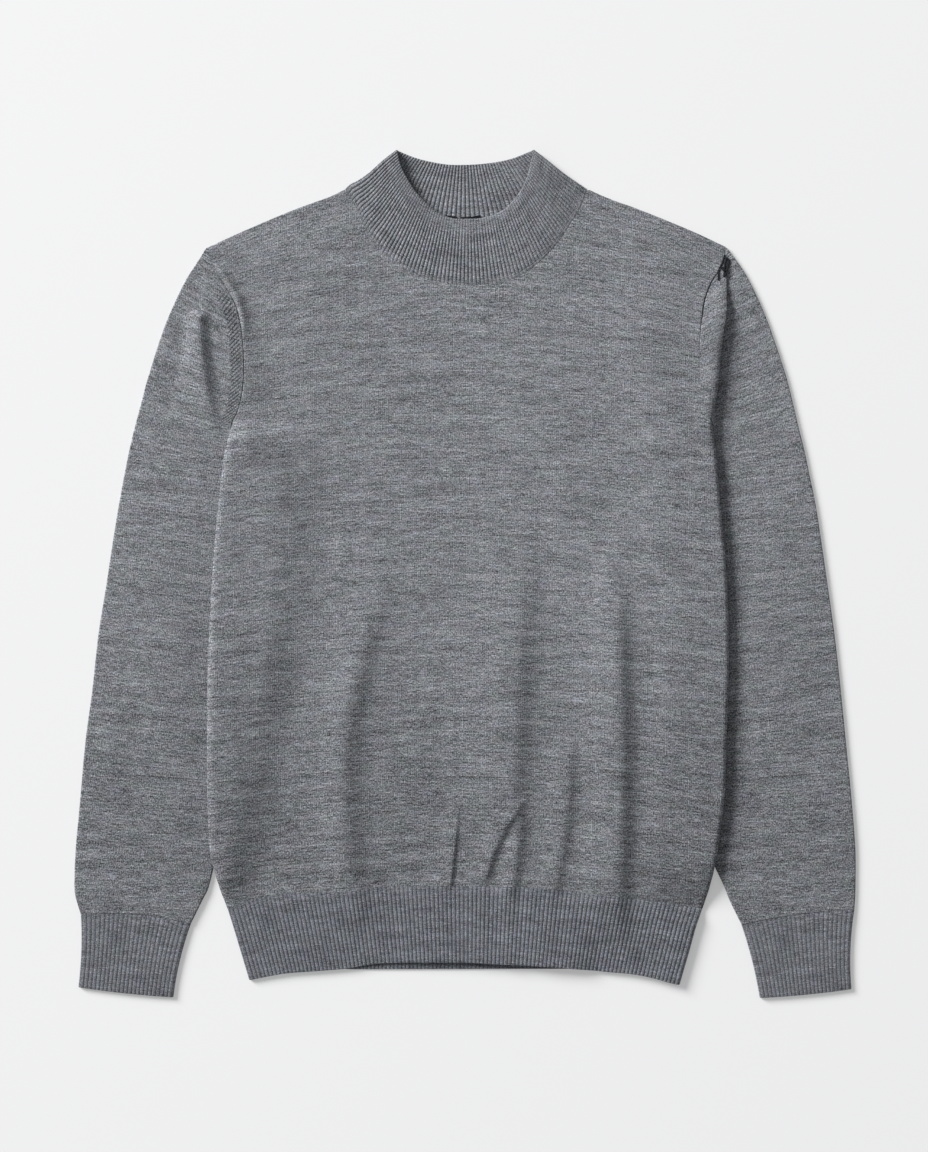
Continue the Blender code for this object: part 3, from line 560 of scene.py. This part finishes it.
def panelGrid(neck, fine, neckOpen=0):
    # points between the panel's four edge lines
    shares = panelShares(fine)
    top, bottom = bodyRows[0][1], bodyRows[-1][1]
    rowSpacing = panel["rowSpacing"] if fine else 2 * panel["rowSpacing"]
    rest = steps(panel["afterTop"], top - bottom, (0, 0, rowSpacing))
    leftY = top - np.concatenate([panel["near"][:panel["nearTop"]], rest])
    rowIndex = np.interp(-leftY, -leftSide[:, 1], np.arange(len(leftSide)) / curveSteps)
    edges = rowAt(bodyRows, rowIndex)
    lefts, rights = edges[:, :2].copy(), edges[:, 2:].copy()
    for ends, isRight, sign in ((lefts, False, 1), (rights, True, -1)):
        ends[:, 0] += sign * seamHalf(ends[:, 1], isRight)
    topLine = panelTop(neck, shares, neckOpen)
    bottomLine = pointAt(lines["hemSeam"], shares) + (0, cloth["linkGap"])
    topLine[0], topLine[-1] = lefts[0], rights[0]
    lefts[-1], rights[-1] = bottomLine[0], bottomLine[-1]
    down = ((lefts[0, 1] - lefts[:, 1]) / (lefts[0, 1] - lefts[-1, 1]))[:, None, None]
    s = shares[None, :, None]
    cornerPart = ((1 - s) * (1 - down) * topLine[0] + s * (1 - down) * topLine[-1]
                  + (1 - s) * down * bottomLine[0] + s * down * bottomLine[-1])
    grid = ((1 - down) * topLine[None] + down * bottomLine[None]
            + (1 - s) * lefts[:, None] + s * rights[:, None] - cornerPart)
    return grid[..., 0], grid[..., 1]


def edgeShare(edge):
    return cloth["edgeLeast"] + (1 - cloth["edgeLeast"]) * fullness(edge, cloth["edgeRadius"])


def makeFront():
    x, y = panelGrid(lines["frontNeck"], True, panel["neckOpen"])
    under = frontUnder(x, y)
    groove = 1 - fullness(armDistance(x, y), seamGroove["radius"])
    groove = groove * np.minimum(seamOpen(y, x > 0), 1)
    full = np.minimum(edgeShare(foldDistance(x, y)), 1 - seamGroove["frontShare"] * groove)
    outer = np.dstack([x, y, under + jersey * full])
    inner = np.dstack([x, y, under + 0.1 * (1 - full)])
    return wallPiece("frontPanel", outer, inner, {"knit": bodyUv(x, y)})


def makeBack():
    x, y = panelGrid(lines["backNeck"], False)
    full = edgeShare(np.minimum(foldDistance(x, y), armDistance(x, y) + 1))
    under = tuck(x, y)
    outer = np.dstack([x, y, under + jersey * (1 - full)])
    inner = np.dstack([x, y, under + jersey])
    return wallPiece("backPanel", outer, inner, {"knit": bodyUv(x, y)})


front = makeFront()
back = makeBack()
print("body panels made")


# sleeves

sleeve = {
    "rowSpacing": 0.11,  # rows of the table between two sections
    "upper": 46,  # points across the upper and the lower layer
    "lower": 22,
    "rimMost": 0.2,  # share of the width that a rim or a wall takes at most
    "creaseNear": (1.6, 3),  # most points are this close before and after the crease's drop
    "creaseColumns": (0.26, 0.54),  # from this share of them to that
    "seamBow": {"left": 5, "right": 3},  # of the cuff's seam
    "tilts": (0.12, 0.50),  # slope of the rows of stitches at the elbow and the top
    "elbow": (-330, 250),  # reached from this y, over this length
    "top": (60, 210),
}


def sleeveUv(sign, x, y, centre):
    elbow, top = sleeve["tilts"]
    tilt = elbow * rising(y, *sleeve["elbow"]) + (top - elbow) * rising(y, *sleeve["top"])
    return pairs(x - centre, y - sign * tilt * (x - centre))


def sleeveColumns(sign, rowIndex, start, end, rim):
    # shares across between the rims, closer together where the cap's crease drops
    even = np.linspace(0, 1, sleeve["upper"])
    before, after = sleeve["creaseNear"]
    rows = []
    for row, first, last, margin in zip(rowIndex, start[:, 0], end[:, 0], rim[:, 0]):
        inner, span = first[0] + margin, last[0] - first[0] - 2 * margin
        at = (xAt(creaseLine, first[1]) - inner) / span
        low = np.clip(at - before / span, 0.01, 0.6)
        high = np.clip(at + after / span, low + 0.03, 0.9)
        near = np.interp(even, (0, *sleeve["creaseColumns"], 1), (0, low, high, 1))
        share = smooth((armpitRow + 3 - row) / 2) if sign > 0 else 0
        rows.append((even + (near - even) * share)[1:-1])
    return np.array(rows)


def makeSleeve(side):
    sign, bodySide = (1, rightSide) if side == "right" else (-1, leftSide)
    lastRow = len(sections[side]) - 1
    rowIndex = np.unique(np.concatenate([
        np.arange(0, lastRow, sleeve["rowSpacing"]), [0.03, armpitRow, lastRow]]))
    table = rowAt(sections[side], rowIndex)
    armLength = np.concatenate([[0], np.cumsum(np.hypot(*np.diff(table[:, :2], axis=0).T))])
    start, end = table[:, None, :2], table[:, None, 2:]
    isOpen = (rowIndex < armpitRow)[:, None]
    width = np.hypot(*np.moveaxis(end - start, -1, 0))
    most = sleeve["rimMost"]
    opening = np.minimum(seamOpen(start[..., 1], sign > 0), 1)
    inset = np.where(isOpen, np.minimum(seamHalf(start[..., 1], sign > 0), most * width), 0)
    start = start + (end - start) * (inset / width)[..., None]
    width = width - inset
    rim = np.minimum(cloth["sleeveRadius"], most * width)

    def across(middle):
        fromStart = np.array([(0, *edgeShares, 1)]) * rim / width
        between = rim / width + (1 - 2 * rim / width) * middle
        return np.concatenate([fromStart, between, 1 - fromStart[:, ::-1]], axis=1)

    upper = across(sleeveColumns(sign, rowIndex, start, end, rim))
    lower = across(np.linspace(0, 1, sleeve["lower"])[None, 1:-1])[:, ::-1][:, 1:]
    bow = sleeve["seamBow"][side] * smooth((rowIndex - lastRow + 3) / 3)[:, None]
    ending = (cloth["linkGap"] * smooth(rowIndex - lastRow + 1))[:, None]
    wallShare = np.minimum(jersey / width, most)

    def layerPoints(isUpper, shares, skin):
        # a layer's outer skin, 0, or inner skin, 1
        toStart = np.where(isOpen, 1, shares * width / rim)
        full = fullness(np.minimum((1 - shares) * width / rim, toStart), 1)
        squeezed = np.where((shares > 0.5) | ~isOpen, wallShare + shares * (1 - 2 * wallShare), shares)
        at = squeezed if skin else shares
        x, y = np.moveaxis(start + (end - start) * at[..., None], -1, 0)
        y = y + 4 * bow * at * (1 - at) + ending
        show = sign * (x - xAt(bodySide, np.maximum(y, bodyRows[-1][1]))) / loft["sleeveShow"]
        taper = 0.2 + 0.8 * smooth((1 - shares) * width / loft["sleeveShow"])
        air = loft["sleeve"] * smooth(show) * taper
        air = air + smooth(2 * show) * (foldHeight(sleeveFolds, x, y) + ripple(x, y, *ripples[side]))
        raised = 0
        if sign > 0 and isUpper:
            folded = rising(y, bodyRows[armpitRow][3], crease["fade"])
            beyond = x - xAt(creaseLine, y)
            air = air * (1 - folded * (1 - smooth(beyond / crease["airReturn"])))
            raised = frontUnder(x, y) - jersey - layerGap
            raised = raised * (1 - smooth(beyond / crease["drop"])) * folded
            lean, reach = crease["lean"]
            leaning = unit(raised / crease["height"]) * rising(y, *crease["leanFrom"])
            x = x + lean * leaning * smooth(1 + np.minimum(beyond, 0) / reach)
        thick = 2 * jersey + layerGap + np.maximum(air, 0)
        half = thick / 2
        if isUpper:
            groove = np.where(isOpen, 1 - fullness(shares * width, seamGroove["radius"]), 0) * opening
            top = thick + raised - seamGroove["sleeveDepth"] * groove
            z = half + (top - jersey * skin - half) * full
        else:
            z = half - (half - jersey * skin) * full
        return np.dstack([x, y, z])

    outer, inner = (np.concatenate([layerPoints(True, upper, skin), layerPoints(False, lower, skin)],
                                   axis=1) for skin in (0, 1))
    centre = ((start + end) / 2)[..., 0]
    fromSeam = np.concatenate([upper, lower], axis=1) * width
    uvs = {"knit": sleeveUv(sign, outer[..., 0], outer[..., 1], centre),
           "seam": pairs(fromSeam, armLength[:, None] + 0 * fromSeam)}
    openRows = int(np.searchsorted(rowIndex, armpitRow))
    return wallPiece("sleeve" + side.title(), outer, inner, uvs, lastRim=openRows)


sleeveLeft = makeSleeve("left")
sleeveRight = makeSleeve("right")
print("sleeves made")


# rib bands

bandLook = {
    "wall": "rib",
    "rows": 18,
    "edgeRows": 8,  # round the free edge
    "perRib": 8,
    "ribShape": 2.2,
    "ribStart": 2.5,
    "seamBlend": 9,
    "seamStep": lambda share: 0,  # how far it stands over the jersey at its seam
    "fade": lambda share, up: 1,  # what is left of the ribs' height
}
collarLook = {
    **bandLook,
    "wall": "collar",
    "width": 300,
    "length": 62,
    "rows": 22,
    "ribs": (81, 48),  # in front and behind
    "rise": 0.80,
    "ribStart": 7,
    "seamBlend": 14,
    "seamStep": lambda share: 0.2 * rising(share, 0.60, 0.08),
    "sideLift": (8.6, 6.2),  # left and right
    "middleLift": 5,
    "fade": lambda share, up: 1 - 0.78 * smooth(
        (up - 0.76 - 0.12 * rising(share, 0.5, 0.25)) / 0.05) * smooth(share / 0.18),
}
hemLook = {
    **bandLook,
    "width": 430,
    "length": 69,
    "ribs": (110, 110),
    "rise": 0.60,
    "loft": 0.6,  # what is left of the air along its edge, where it lies closed
    "open": (-41, 91, 30),  # and where it stands open: from, to, softness
    "side": (2.8, 45),  # its right side stands up: height, reach
}
cuffLook = {
    **bandLook,
    "width": 97,
    "length": 65,
    "ribs": (23, 23),
    "rise": 0.45,
    "loft": 0.3,
    "edges": {"left": ((-349.2, -372.5), (-263.6, -381.6)), "right": ((264.6, -382.2), (347.2, -374.2))},
    "edgeBow": -1,
    "sideBows": {"left": (1.5, -2), "right": (1.5, -2.2)},
}


def ribPlaces(width, ribs, look):
    # shares across one side, and the ribs' count there
    rim = cloth["foldRadius"]
    near = np.array(edgeShares) * rim
    even = np.linspace(0, 1, ribs * look["perRib"] + 1)
    places = np.concatenate([near, rim + (width - 2 * rim) * even, (width - near)[::-1]])
    return places / width, (places - rim) * ribs / (width - 2 * rim)


def bandPlan(*names):
    # a band's points between its seam and its free edge, brought out to its side lines
    seam, edge, left, right = (lines[name] for name in names)

    def plan(share, up):
        share, up = np.broadcast_arrays(share, up)
        s, u = share[..., None], up[..., None]
        point = (1 - u) * pointAt(seam, share) + u * pointAt(edge, share)
        leftShift = pointAt(left, up) - ((1 - u) * seam[0] + u * edge[0])
        rightShift = pointAt(right, up) - ((1 - u) * seam[-1] + u * edge[-1])
        return point + leftShift * (1 - s) ** 6 + rightShift * s ** 6

    return plan


def bandProfile(wall, look):
    # round the free edge: share of the band's length, and 0 outside to 1 inside
    radius = wall / 2 / look["length"]
    along = np.linspace(0, 1 - radius, look["rows"])
    angles = np.linspace(0, math.pi, look["edgeRows"] + 1)[1:-1]
    edge = [(1 - radius + radius * math.sin(a), (1 - math.cos(a)) / 2) for a in angles]
    return np.array([(u, 0) for u in along] + edge + [(u, 1) for u in along[::-1]])


def makeBand(name, frontPlan, backPlan, heights, look):
    wall, width = cloth[look["wall"]], look["width"]
    profile = bandProfile(wall, look)
    up, skin = profile[None, :, 0], profile[None, :, 1]
    along = up * look["length"]
    layers = []
    for isFront, ribs, plan in ((True, look["ribs"][0], frontPlan), (False, look["ribs"][1], backPlan)):
        share, ribAt = ribPlaces(width, ribs, look)
        if isFront:
            share = np.concatenate([[0], share, [1]])
            ribAt = np.concatenate([ribAt[:1], ribAt, ribAt[-1:]])
        else:
            share, ribAt = share[::-1], ribAt[::-1]
        share, ribAt = share[:, None], ribAt[:, None]
        depth = np.minimum(share, 1 - share) * width
        full = fullness(depth, cloth["foldRadius"])
        at = skin * wall / width + share * (1 - 2 * skin * wall / width)
        under = heights(at, up)
        atSeam = 1 - smooth(along / look["seamBlend"])
        below = wall - (wall - jersey) * atSeam  # the lower layer's thickness
        middle = (under + below) / 2
        rib = look["rise"] * (1 - np.abs(2 * (ribAt % 1) - 1) ** look["ribShape"])
        rib = rib * smooth(depth / cloth["foldRadius"]) * smooth(along / look["ribStart"])
        if isFront:
            rib = rib * look["fade"](share, up)
            thin = (wall - jersey - look["seamStep"](share)) * atSeam
            z = middle + (under + (wall - thin + rib) * (1 - skin) - middle) * full
        else:
            z = middle - (middle - below * skin - rib * skin) * full
        uv = pairs(*np.broadcast_arrays(ribAt, along))
        layers.append((np.dstack([plan(at, up), z]), uv))
    points, uvs = (np.concatenate(both) for both in zip(*layers))
    return ringPiece(name, points, {"knit": uvs})


def makeCollar():
    sides = "collarSideLeft", "collarSideRight"
    frontPlan = bandPlan("frontNeck", "frontCollar", *sides)
    backPlan = bandPlan("backNeck", "backCollar", *sides)
    thickness = cloth["collar"] + cloth["ribRise"] - jersey

    def heights(share, up):
        middle = np.sin(math.pi * share) ** 2
        atSeam = frontUnder(*np.moveaxis(pointAt(lines["frontNeck"], share), -1, 0))
        lowest = jersey + layerGap + thickness * smooth(up * collarLook["length"] / collarLook["seamBlend"])
        low = np.maximum(atSeam, lowest * (1 - middle) ** 6)
        left, right = collarLook["sideLift"]
        side = left + (right - left) * smooth(share)
        high = side + (collarLook["middleLift"] - side) * middle
        return low + (high - low) * smooth(up)

    return makeBand("mockNeckCollar", frontPlan, backPlan, heights, collarLook)


def makeHem():
    sides = "hemSideLeft", "hemSideRight"
    frontPlan = bandPlan("hemSeam", "frontHem", *sides)
    backPlan = bandPlan("hemSeam", "backHem", *sides)
    flat = cloth["rib"] + layerGap + hemLook["loft"]

    def heights(share, up):
        x, y = np.moveaxis(frontPlan(share, up), -1, 0)
        under = frontUnder(x, y)
        start, end, soft = hemLook["open"]
        closed = 1 - smooth((x - start + soft) / soft) * smooth((end + soft - x) / soft)
        rise, reach = hemLook["side"]
        side = rise * bell((1 - share) * hemLook["width"] / reach) * smooth(up / 0.15)
        return under - np.maximum(under - flat, 0) * closed * smooth(up) + side

    return makeBand("hemRib", frontPlan, backPlan, heights, hemLook)


def makeCuff(side):
    lastRow = sections[side][-1]
    seam = np.array(sorted((lastRow[:2], lastRow[2:])))
    edge = np.array(cuffLook["edges"][side])
    left, right = cuffLook["sideBows"][side]

    def plan(share, up):
        share, up = np.broadcast_arrays(share, up)
        s, u = share[..., None], up[..., None]

        def bowed(ends, bow):
            return ends[0] + (ends[1] - ends[0]) * s + np.array((0, 4 * bow)) * s * (1 - s)

        point = (1 - u) * bowed(seam, sleeve["seamBow"][side]) + u * bowed(edge, cuffLook["edgeBow"])
        return point + 4 * (left * (1 - s) + right * s) * u * (1 - u) * np.array((1, 0))

    def heights(share, up):
        middle = np.sqrt(np.sin(math.pi * unit(share))) * np.ones_like(up)
        return cloth["rib"] + layerGap + cuffLook["loft"] * (0.3 + 0.7 * middle)

    return makeBand("cuff" + side.title(), plan, plan, heights, cuffLook)


collar = makeCollar()
hem = makeHem()
cuffs = {side: makeCuff(side) for side in ("left", "right")}
print("rib bands made")


# materials

def newMaterial(name, settings):
    material = bpy.data.materials.new(name)
    material.use_nodes = True
    shader = material.node_tree.nodes["Principled BSDF"]
    for key, value in settings.items():
        shader.inputs[key].default_value = value
    return material


def plainMaterial(name, colour, roughness, **more):
    return newMaterial(name, {"Base Color": (*colour, 1), "Roughness": roughness,
                              "Specular IOR Level": 0.1, **more})


def knitMaterial(name, look):
    material = newMaterial(name, {
        "Roughness": 0.95, "Specular IOR Level": 0.15, "Sheen Weight": 0.12, "Sheen Roughness": 0.5})
    tree = material.node_tree
    shader = tree.nodes["Principled BSDF"]

    def make(kind, inputs=(), **settings):
        node = tree.nodes.new("ShaderNode" + kind)
        for key, value in settings.items():
            setattr(node, key, value)
        for key, value in dict(inputs).items():
            if isinstance(value, bpy.types.NodeSocket):
                tree.links.new(value, node.inputs[key])
            else:
                node.inputs[key].default_value = value
        return node.outputs

    def calc(operation, a, b=0, c=0):
        return make("Math", {0: a, 1: b, 2: c}, operation=operation)[0]

    def multiplyAdd(a, b, c):
        return calc("MULTIPLY_ADD", a, b, c)

    def wave(value, length):
        turned = calc("COSINE", calc("MULTIPLY", value, 2 * math.pi / length))
        return multiplyAdd(turned, 0.5, 0.5)

    def vector(operation, inputs):
        return make("VectorMath", inputs, operation=operation)[0]

    def mapped(value, start, end, low, high, **settings):
        return make("MapRange", {0: value, 1: start, 2: end, 3: low, 4: high}, **settings)[0]

    def scaled(value, x, y):
        return vector("MULTIPLY", {0: value, 1: (x, y, 1)})

    def noise(value, detail, roughness=0.5):
        return make("TexNoise", {"Vector": value, "Scale": 1, "Detail": detail, "Roughness": roughness})

    uv = make("UVMap", uv_map="knit")[0]
    yarnUv = scaled(uv, look["yarnPitch"], 1)

    # melange: long streaks, short flecks, stitch by stitch grain, broad patches
    shade = 0
    for length, height, weight, detail in look["melange"]:
        streak = noise(scaled(yarnUv, 1 / length, 1 / height), detail, 0.55)[0]
        shade = multiplyAdd(calc("SUBTRACT", streak, 0.5), weight * look["contrast"], shade)
    # stitches: two legs that lean together, with a groove between columns
    stitchAt = make("SeparateXYZ", {0: scaled(uv, 1 / look["wale"], 1 / look["course"])})
    across = calc("ABSOLUTE", multiplyAdd(calc("FRACT", stitchAt[0]), 2, -1))
    lean = multiplyAdd(across, look["lean"], stitchAt[1])
    leg = multiplyAdd(wave(lean, 1), 0.6, 0.4)
    stitch = calc("MULTIPLY", calc("SUBTRACT", 1, calc("POWER", across, 4)), leg)
    # painted shade: the colour darkens between the stitch legs and in the grooves between columns
    shade = multiplyAdd(calc("SUBTRACT", stitch, 0.45), look["paintedStitchShade"], shade)
    # painted shade: a rib's grooves are made unevenly dark
    uneven = multiplyAdd(noise(scaled(yarnUv, 1 / 24, 1 / 12), 2)[0], 2.4, -0.2)
    groove = calc("MULTIPLY", calc("POWER", across, 6), uneven)
    shade = multiplyAdd(groove, -look["paintedGrooveShade"], shade)
    place = make("SeparateXYZ", {0: uv})
    # painted shade, darker by place on the cloth
    for axis, start, end, factor in look["paintedShades"]:
        paintedShadeTerm = mapped(place[axis], start, end, 0, math.log(factor), interpolation_type="SMOOTHSTEP")
        shade = calc("ADD", shade, paintedShadeTerm)
    bright = calc("MAXIMUM", multiplyAdd(shade, 1 / look["gamma"], 1), 0.05)
    colour = vector("SCALE", {0: look["wool"], 3: calc("POWER", bright, look["gamma"])})
    tint = look["tint"]
    tintNoise = noise(scaled(yarnUv, 1 / 14, 1 / 8), 3)[1]
    tintShare = vector("MULTIPLY_ADD", {0: tintNoise, 1: (tint,) * 3, 2: (1 - tint / 2,) * 3})
    colour = vector("MULTIPLY", {0: colour, 1: tintShare})
    if "marks" in look:
        # fashioning marks, a row of short slanting stitches beside the sleeve seam; the marks are real, and
        # their darker colour is painted shade in their hollows
        marks = look["marks"]
        seam = make("SeparateXYZ", {0: make("UVMap", uv_map="seam")[0]})
        slanted = multiplyAdd(seam[0], marks["slant"], seam[1])
        mark = calc("POWER", wave(slanted, marks["spacing"]), 2)
        for value, (low, high, soft) in ((seam[0], marks["across"]), (seam[1], marks["along"])):
            for start, end in ((low - soft, low), (high + soft, high)):
                mark = calc("MULTIPLY", mark, mapped(value, start, end, 0, 1))
        stitch = multiplyAdd(mark, marks["height"], stitch)
        colour = vector("SCALE", {0: colour, 3: mapped(mark, 0, 1, 1, marks["paintedMarkShade"])})
    fuzz = noise(scaled(yarnUv, 3, 3), 3, 0.7)[0]
    bump = make("Bump", {"Height": multiplyAdd(fuzz, look["fuzz"], stitch),
                         "Distance": look["stitchDepth"] * mm, "Strength": look["bump"]})[0]
    tree.links.new(colour, shader.inputs["Base Color"])
    tree.links.new(bump, shader.inputs["Normal"])
    return material


jerseyLook = {
    "wale": 1.7, "course": 1.15, "lean": 0.45, "yarnPitch": 1,
    "wool": (0.174, 0.180, 0.194),
    "melange": ((22, 1.4, 0.55, 2), (6, 1.4, 0.70, 2), (1.3, 1.3, 1.40, 1),
                (14, 5, 0.32, 2), (70, 9, 0.42, 3)),
    "contrast": 2.7, "gamma": 1.8, "tint": 0.18, "paintedGrooveShade": 0,
    # painted shade: the wool is made darker towards the hem and towards the side edges; axis of the map,
    # from, to, factor
    "paintedShades": ((1, 40, -270, 0.80), (0, 140, 215, 0.95), (0, -185, -225, 0.95)),
    "paintedStitchShade": 0.25, "stitchDepth": 0.35, "fuzz": 0.5, "bump": 0.5,
}
# painted shade on the sleeves, darker towards the cuffs
sleeveLook = {**jerseyLook, "paintedShades": ((1, 80, -260, 0.84),)}
markedLook = {
    **sleeveLook,
    "marks": {"spacing": 3.8, "slant": -0.7, "across": (3, 11, 2), "along": (52, 160, 14),
              "height": -1.4, "paintedMarkShade": 0.36},
}
ribLook = {
    **jerseyLook,
    "wale": 1, "course": 1.6, "lean": 0.5, "yarnPitch": 4.2,
    "wool": (0.129, 0.135, 0.152),
    "melange": ((20, 1.1, 0.50, 2), (5, 1.1, 0.65, 2), (1.3, 0.9, 1.25, 1),
                (14, 6, 0.30, 2), (50, 8, 0.36, 3)),
    "paintedGrooveShade": 0.34, "paintedShades": (),
}
cuffRibLook = {**ribLook, "paintedGrooveShade": 0.26, "wool": (0.131, 0.136, 0.151)}
collarRibLook = {**ribLook, "yarnPitch": 3.4, "wool": (0.168, 0.174, 0.190), "paintedGrooveShade": 0.52}
finishes = {
    "jersey": knitMaterial("jerseyWool", jerseyLook),
    "sleeve": knitMaterial("sleeveWool", sleeveLook),
    "marked": knitMaterial("markedSleeveWool", markedLook),
    "rib": knitMaterial("ribWool", ribLook),
    "cuff": knitMaterial("cuffWool", cuffRibLook),
    "collar": knitMaterial("collarWool", collarRibLook),
    "thread": plainMaterial("darkThreadAndPaintedShadow", (0.018, 0.019, 0.023), 0.9),
    # painted shadow for the gap inside the neck
    "shadowSheet": plainMaterial("paintedShadowSheet", (0.010, 0.011, 0.016), 0.8),
}
print("materials made")

pieces = (  # piece, node, slot, finish, flat width and length, area, what it lies on
    (front, "front_panel", "jersey", "jersey", (0.470, 0.650), 0.262, ["back_panel"]),
    (back, "back_panel", "jersey", "jersey", (0.470, 0.650), 0.270, ["sleeve_left", "sleeve_right"]),
    (sleeveLeft, "sleeve_left", "jersey", "marked", (0.260, 0.610), 0.140, []),
    (sleeveRight, "sleeve_right", "jersey", "sleeve", (0.260, 0.610), 0.140, []),
    (hem, "hem_rib", "rib", "rib", (0.860, 0.070), None, []),
    (cuffs["left"], "cuff_left", "rib", "cuff", (0.190, 0.065), None, []),
    (cuffs["right"], "cuff_right", "rib", "cuff", (0.190, 0.065), None, []),
    (collar, "mock_neck_collar", "collar_rib", "collar", (0.460, 0.062), None, ["back_panel"]),
)
for piece, node, slot, finish, flat, area, under in pieces:
    piece.data.materials.append(finishes[finish])
    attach(piece, "root")
    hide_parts(node)
    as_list(under)
print("pieces placed")


# dark stitches where the cap's crease begins at the right shoulder, and a thin dark stroke down the top of
# the right armhole seam; they are in part dark thread and in part painted shadow, standing for the deep
# shade at the top of the crease and in the seam's groove

shoulderStitchesAndShadow = {
    "strokes": (  # radius, how many radii it lies in the cloth, then the points of the thread
        (0.6, 0.35, ((233, 287.2), (231.6, 283.1), (230.1, 278.5), (228.2, 275.2), (226.6, 271))),
        (0.9, 0.35, ((234.7, 284.6), (233.4, 280.2), (232.6, 275.2), (232.5, 270.2), (232, 266.9))),
        (0.9, 0.35, ((235.9, 283), (236.9, 280.8), (235.7, 276.9), (234.6, 271.9), (233.1, 267.7))),
        (1.3, 0.20, ((228.4, 276.2), (230.5, 274.6), (232.6, 272.4))),
        (0.8, 0.35, ((227.2, 273), (227, 267.7), (226.8, 263.8))),
        (0.42, 1.5, ((226.6, 271), (219.9, 261), (214, 245.2), (211.4, 229.1))),
    ),
    "steps": 7,
    "reach": 1.4,  # a thread follows the highest cloth this near
}


def surfaceHeight(x, y):
    reach = shoulderStitchesAndShadow["reach"]
    hits = [surface.ray_cast(((x + dx) * mm, y * mm, 0.1), (0, 0, -1))
            for surface in (front, sleeveRight) for dx in (-reach, 0, reach)]
    return max(hit[1].z / mm for hit in hits if hit[0])


def makeThread(radius, sunk, points):
    line = curveThrough(points, shoulderStitchesAndShadow["steps"])
    bpy.ops.curve.primitive_nurbs_path_add(location=(0, 0, 0))
    thread = bpy.context.object
    spline = thread.data.splines[0]
    spline.points.add(len(line) - len(spline.points))
    for point, (x, y) in zip(spline.points, line):
        z = surfaceHeight(x, y) + radius * (1 - sunk)
        point.co = (x * mm, y * mm, z * mm, 1)
    spline.order_u = 3
    spline.use_endpoint_u = True
    thread.data.bevel_depth = radius * mm
    thread.data.bevel_resolution = 2
    thread.data.use_fill_caps = True
    bpy.ops.object.convert(target="MESH")
    return bpy.context.object


bpy.context.view_layer.update()
threads = [makeThread(*stroke) for stroke in shoulderStitchesAndShadow["strokes"]]
bpy.ops.object.select_all(action="DESELECT")
for thread in threads:
    thread.select_set(True)
bpy.context.view_layer.objects.active = threads[0]
bpy.ops.object.join()
joined = bpy.context.object
joined.name = "shoulderStitchesAndShadow"
bpy.ops.object.shade_smooth()
joined.data.materials.clear()
joined.data.materials.append(finishes["thread"])
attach(joined, "root")


# a near-black sheet inside the neck, a painted shadow: its upper edge shows in two places as the dark gap
# between the front collar's edge and the back ribs

neckShadowSheet = {
    "thickness": 0.6,
    "lift": 3.15,  # its underside, over the ribs of the collar's back
    "bottom": 306,
    "top": (  # x, y along the upper edge
        (-18, 316.6), (-16.8, 322.4), (-12, 321.8), (-8, 321.2), (-7.2, 317.4), (-5, 317.2),
        (-4, 320.9), (0, 320.9), (5, 321.2), (9, 321.9), (13.2, 322.6), (14.4, 317.4),
    ),
}

top = np.array(neckShadowSheet["top"])
bottom = pairs(top[:, 0], 0 * top[:, 0] + neckShadowSheet["bottom"])
grid = np.stack([top, bottom])
low, high = (np.dstack([grid, np.full(grid.shape[:2], height)])
             for height in (neckShadowSheet["lift"], neckShadowSheet["lift"] + neckShadowSheet["thickness"]))
shadowSheet = wallPiece("neckShadowSheet", high, low, {"knit": grid})
shadowSheet.data.materials.append(finishes["shadowSheet"])
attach(shadowSheet, "root")
print("stitches and label made")


# floor, light and camera

studio = {
    "floor": (0.553, 0.553, 0.556),
    "floorSize": 8,
    "floorGlow": 0.26,
    "keyPlace": (-12.6, 9.38, 7.83),
    "keySize": 8,
    "keyEnergy": 5450,
    "sky": (0.97, 0.985, 1),
    "skyStrength": 0.345,
}

bpy.ops.object.select_all(action="DESELECT")
bpy.ops.mesh.primitive_plane_add(size=studio["floorSize"])
floor = bpy.context.object
floor.name = "floor"
floor.data.materials.append(plainMaterial("paleFloor", studio["floor"], 0.9, **{
    "Emission Color": (1, 1, 1, 1), "Emission Strength": studio["floorGlow"]}))
light = bpy.data.lights.new("key", "AREA")
light.shape = "DISK"
light.size = studio["keySize"]
light.energy = studio["keyEnergy"]
key = newObject("key", light)
key.location = studio["keyPlace"]
key.rotation_euler = (-key.location).to_track_quat("-Z", "Y").to_euler()
world = bpy.data.worlds.new("studio")
bpy.context.scene.world = world
world.use_nodes = True
background = world.node_tree.nodes["Background"]
background.inputs["Color"].default_value = (*studio["sky"], 1)
background.inputs["Strength"].default_value = studio["skyStrength"]
bpy.context.scene.view_settings.view_transform = "Standard"

view = {
    "pixel": 0.9,  # millimetres to one pixel of the photograph
    "frameHeight": 1152,  # in those pixels
    "centre": (-1.8, -2.2),
    "height": 2500,
    "clothHeight": 4,
    "sensor": 36,
}

data = bpy.data.cameras.new("overhead")
camera = newObject("overhead", data)
data.sensor_width = view["sensor"]
data.lens = view["sensor"] * view["height"] / (view["frameHeight"] * view["pixel"])
x, y = view["centre"]
camera.location = (x * mm, y * mm, (view["height"] + view["clothHeight"]) * mm)
bpy.context.scene.camera = camera

bpy.context.view_layer.update()
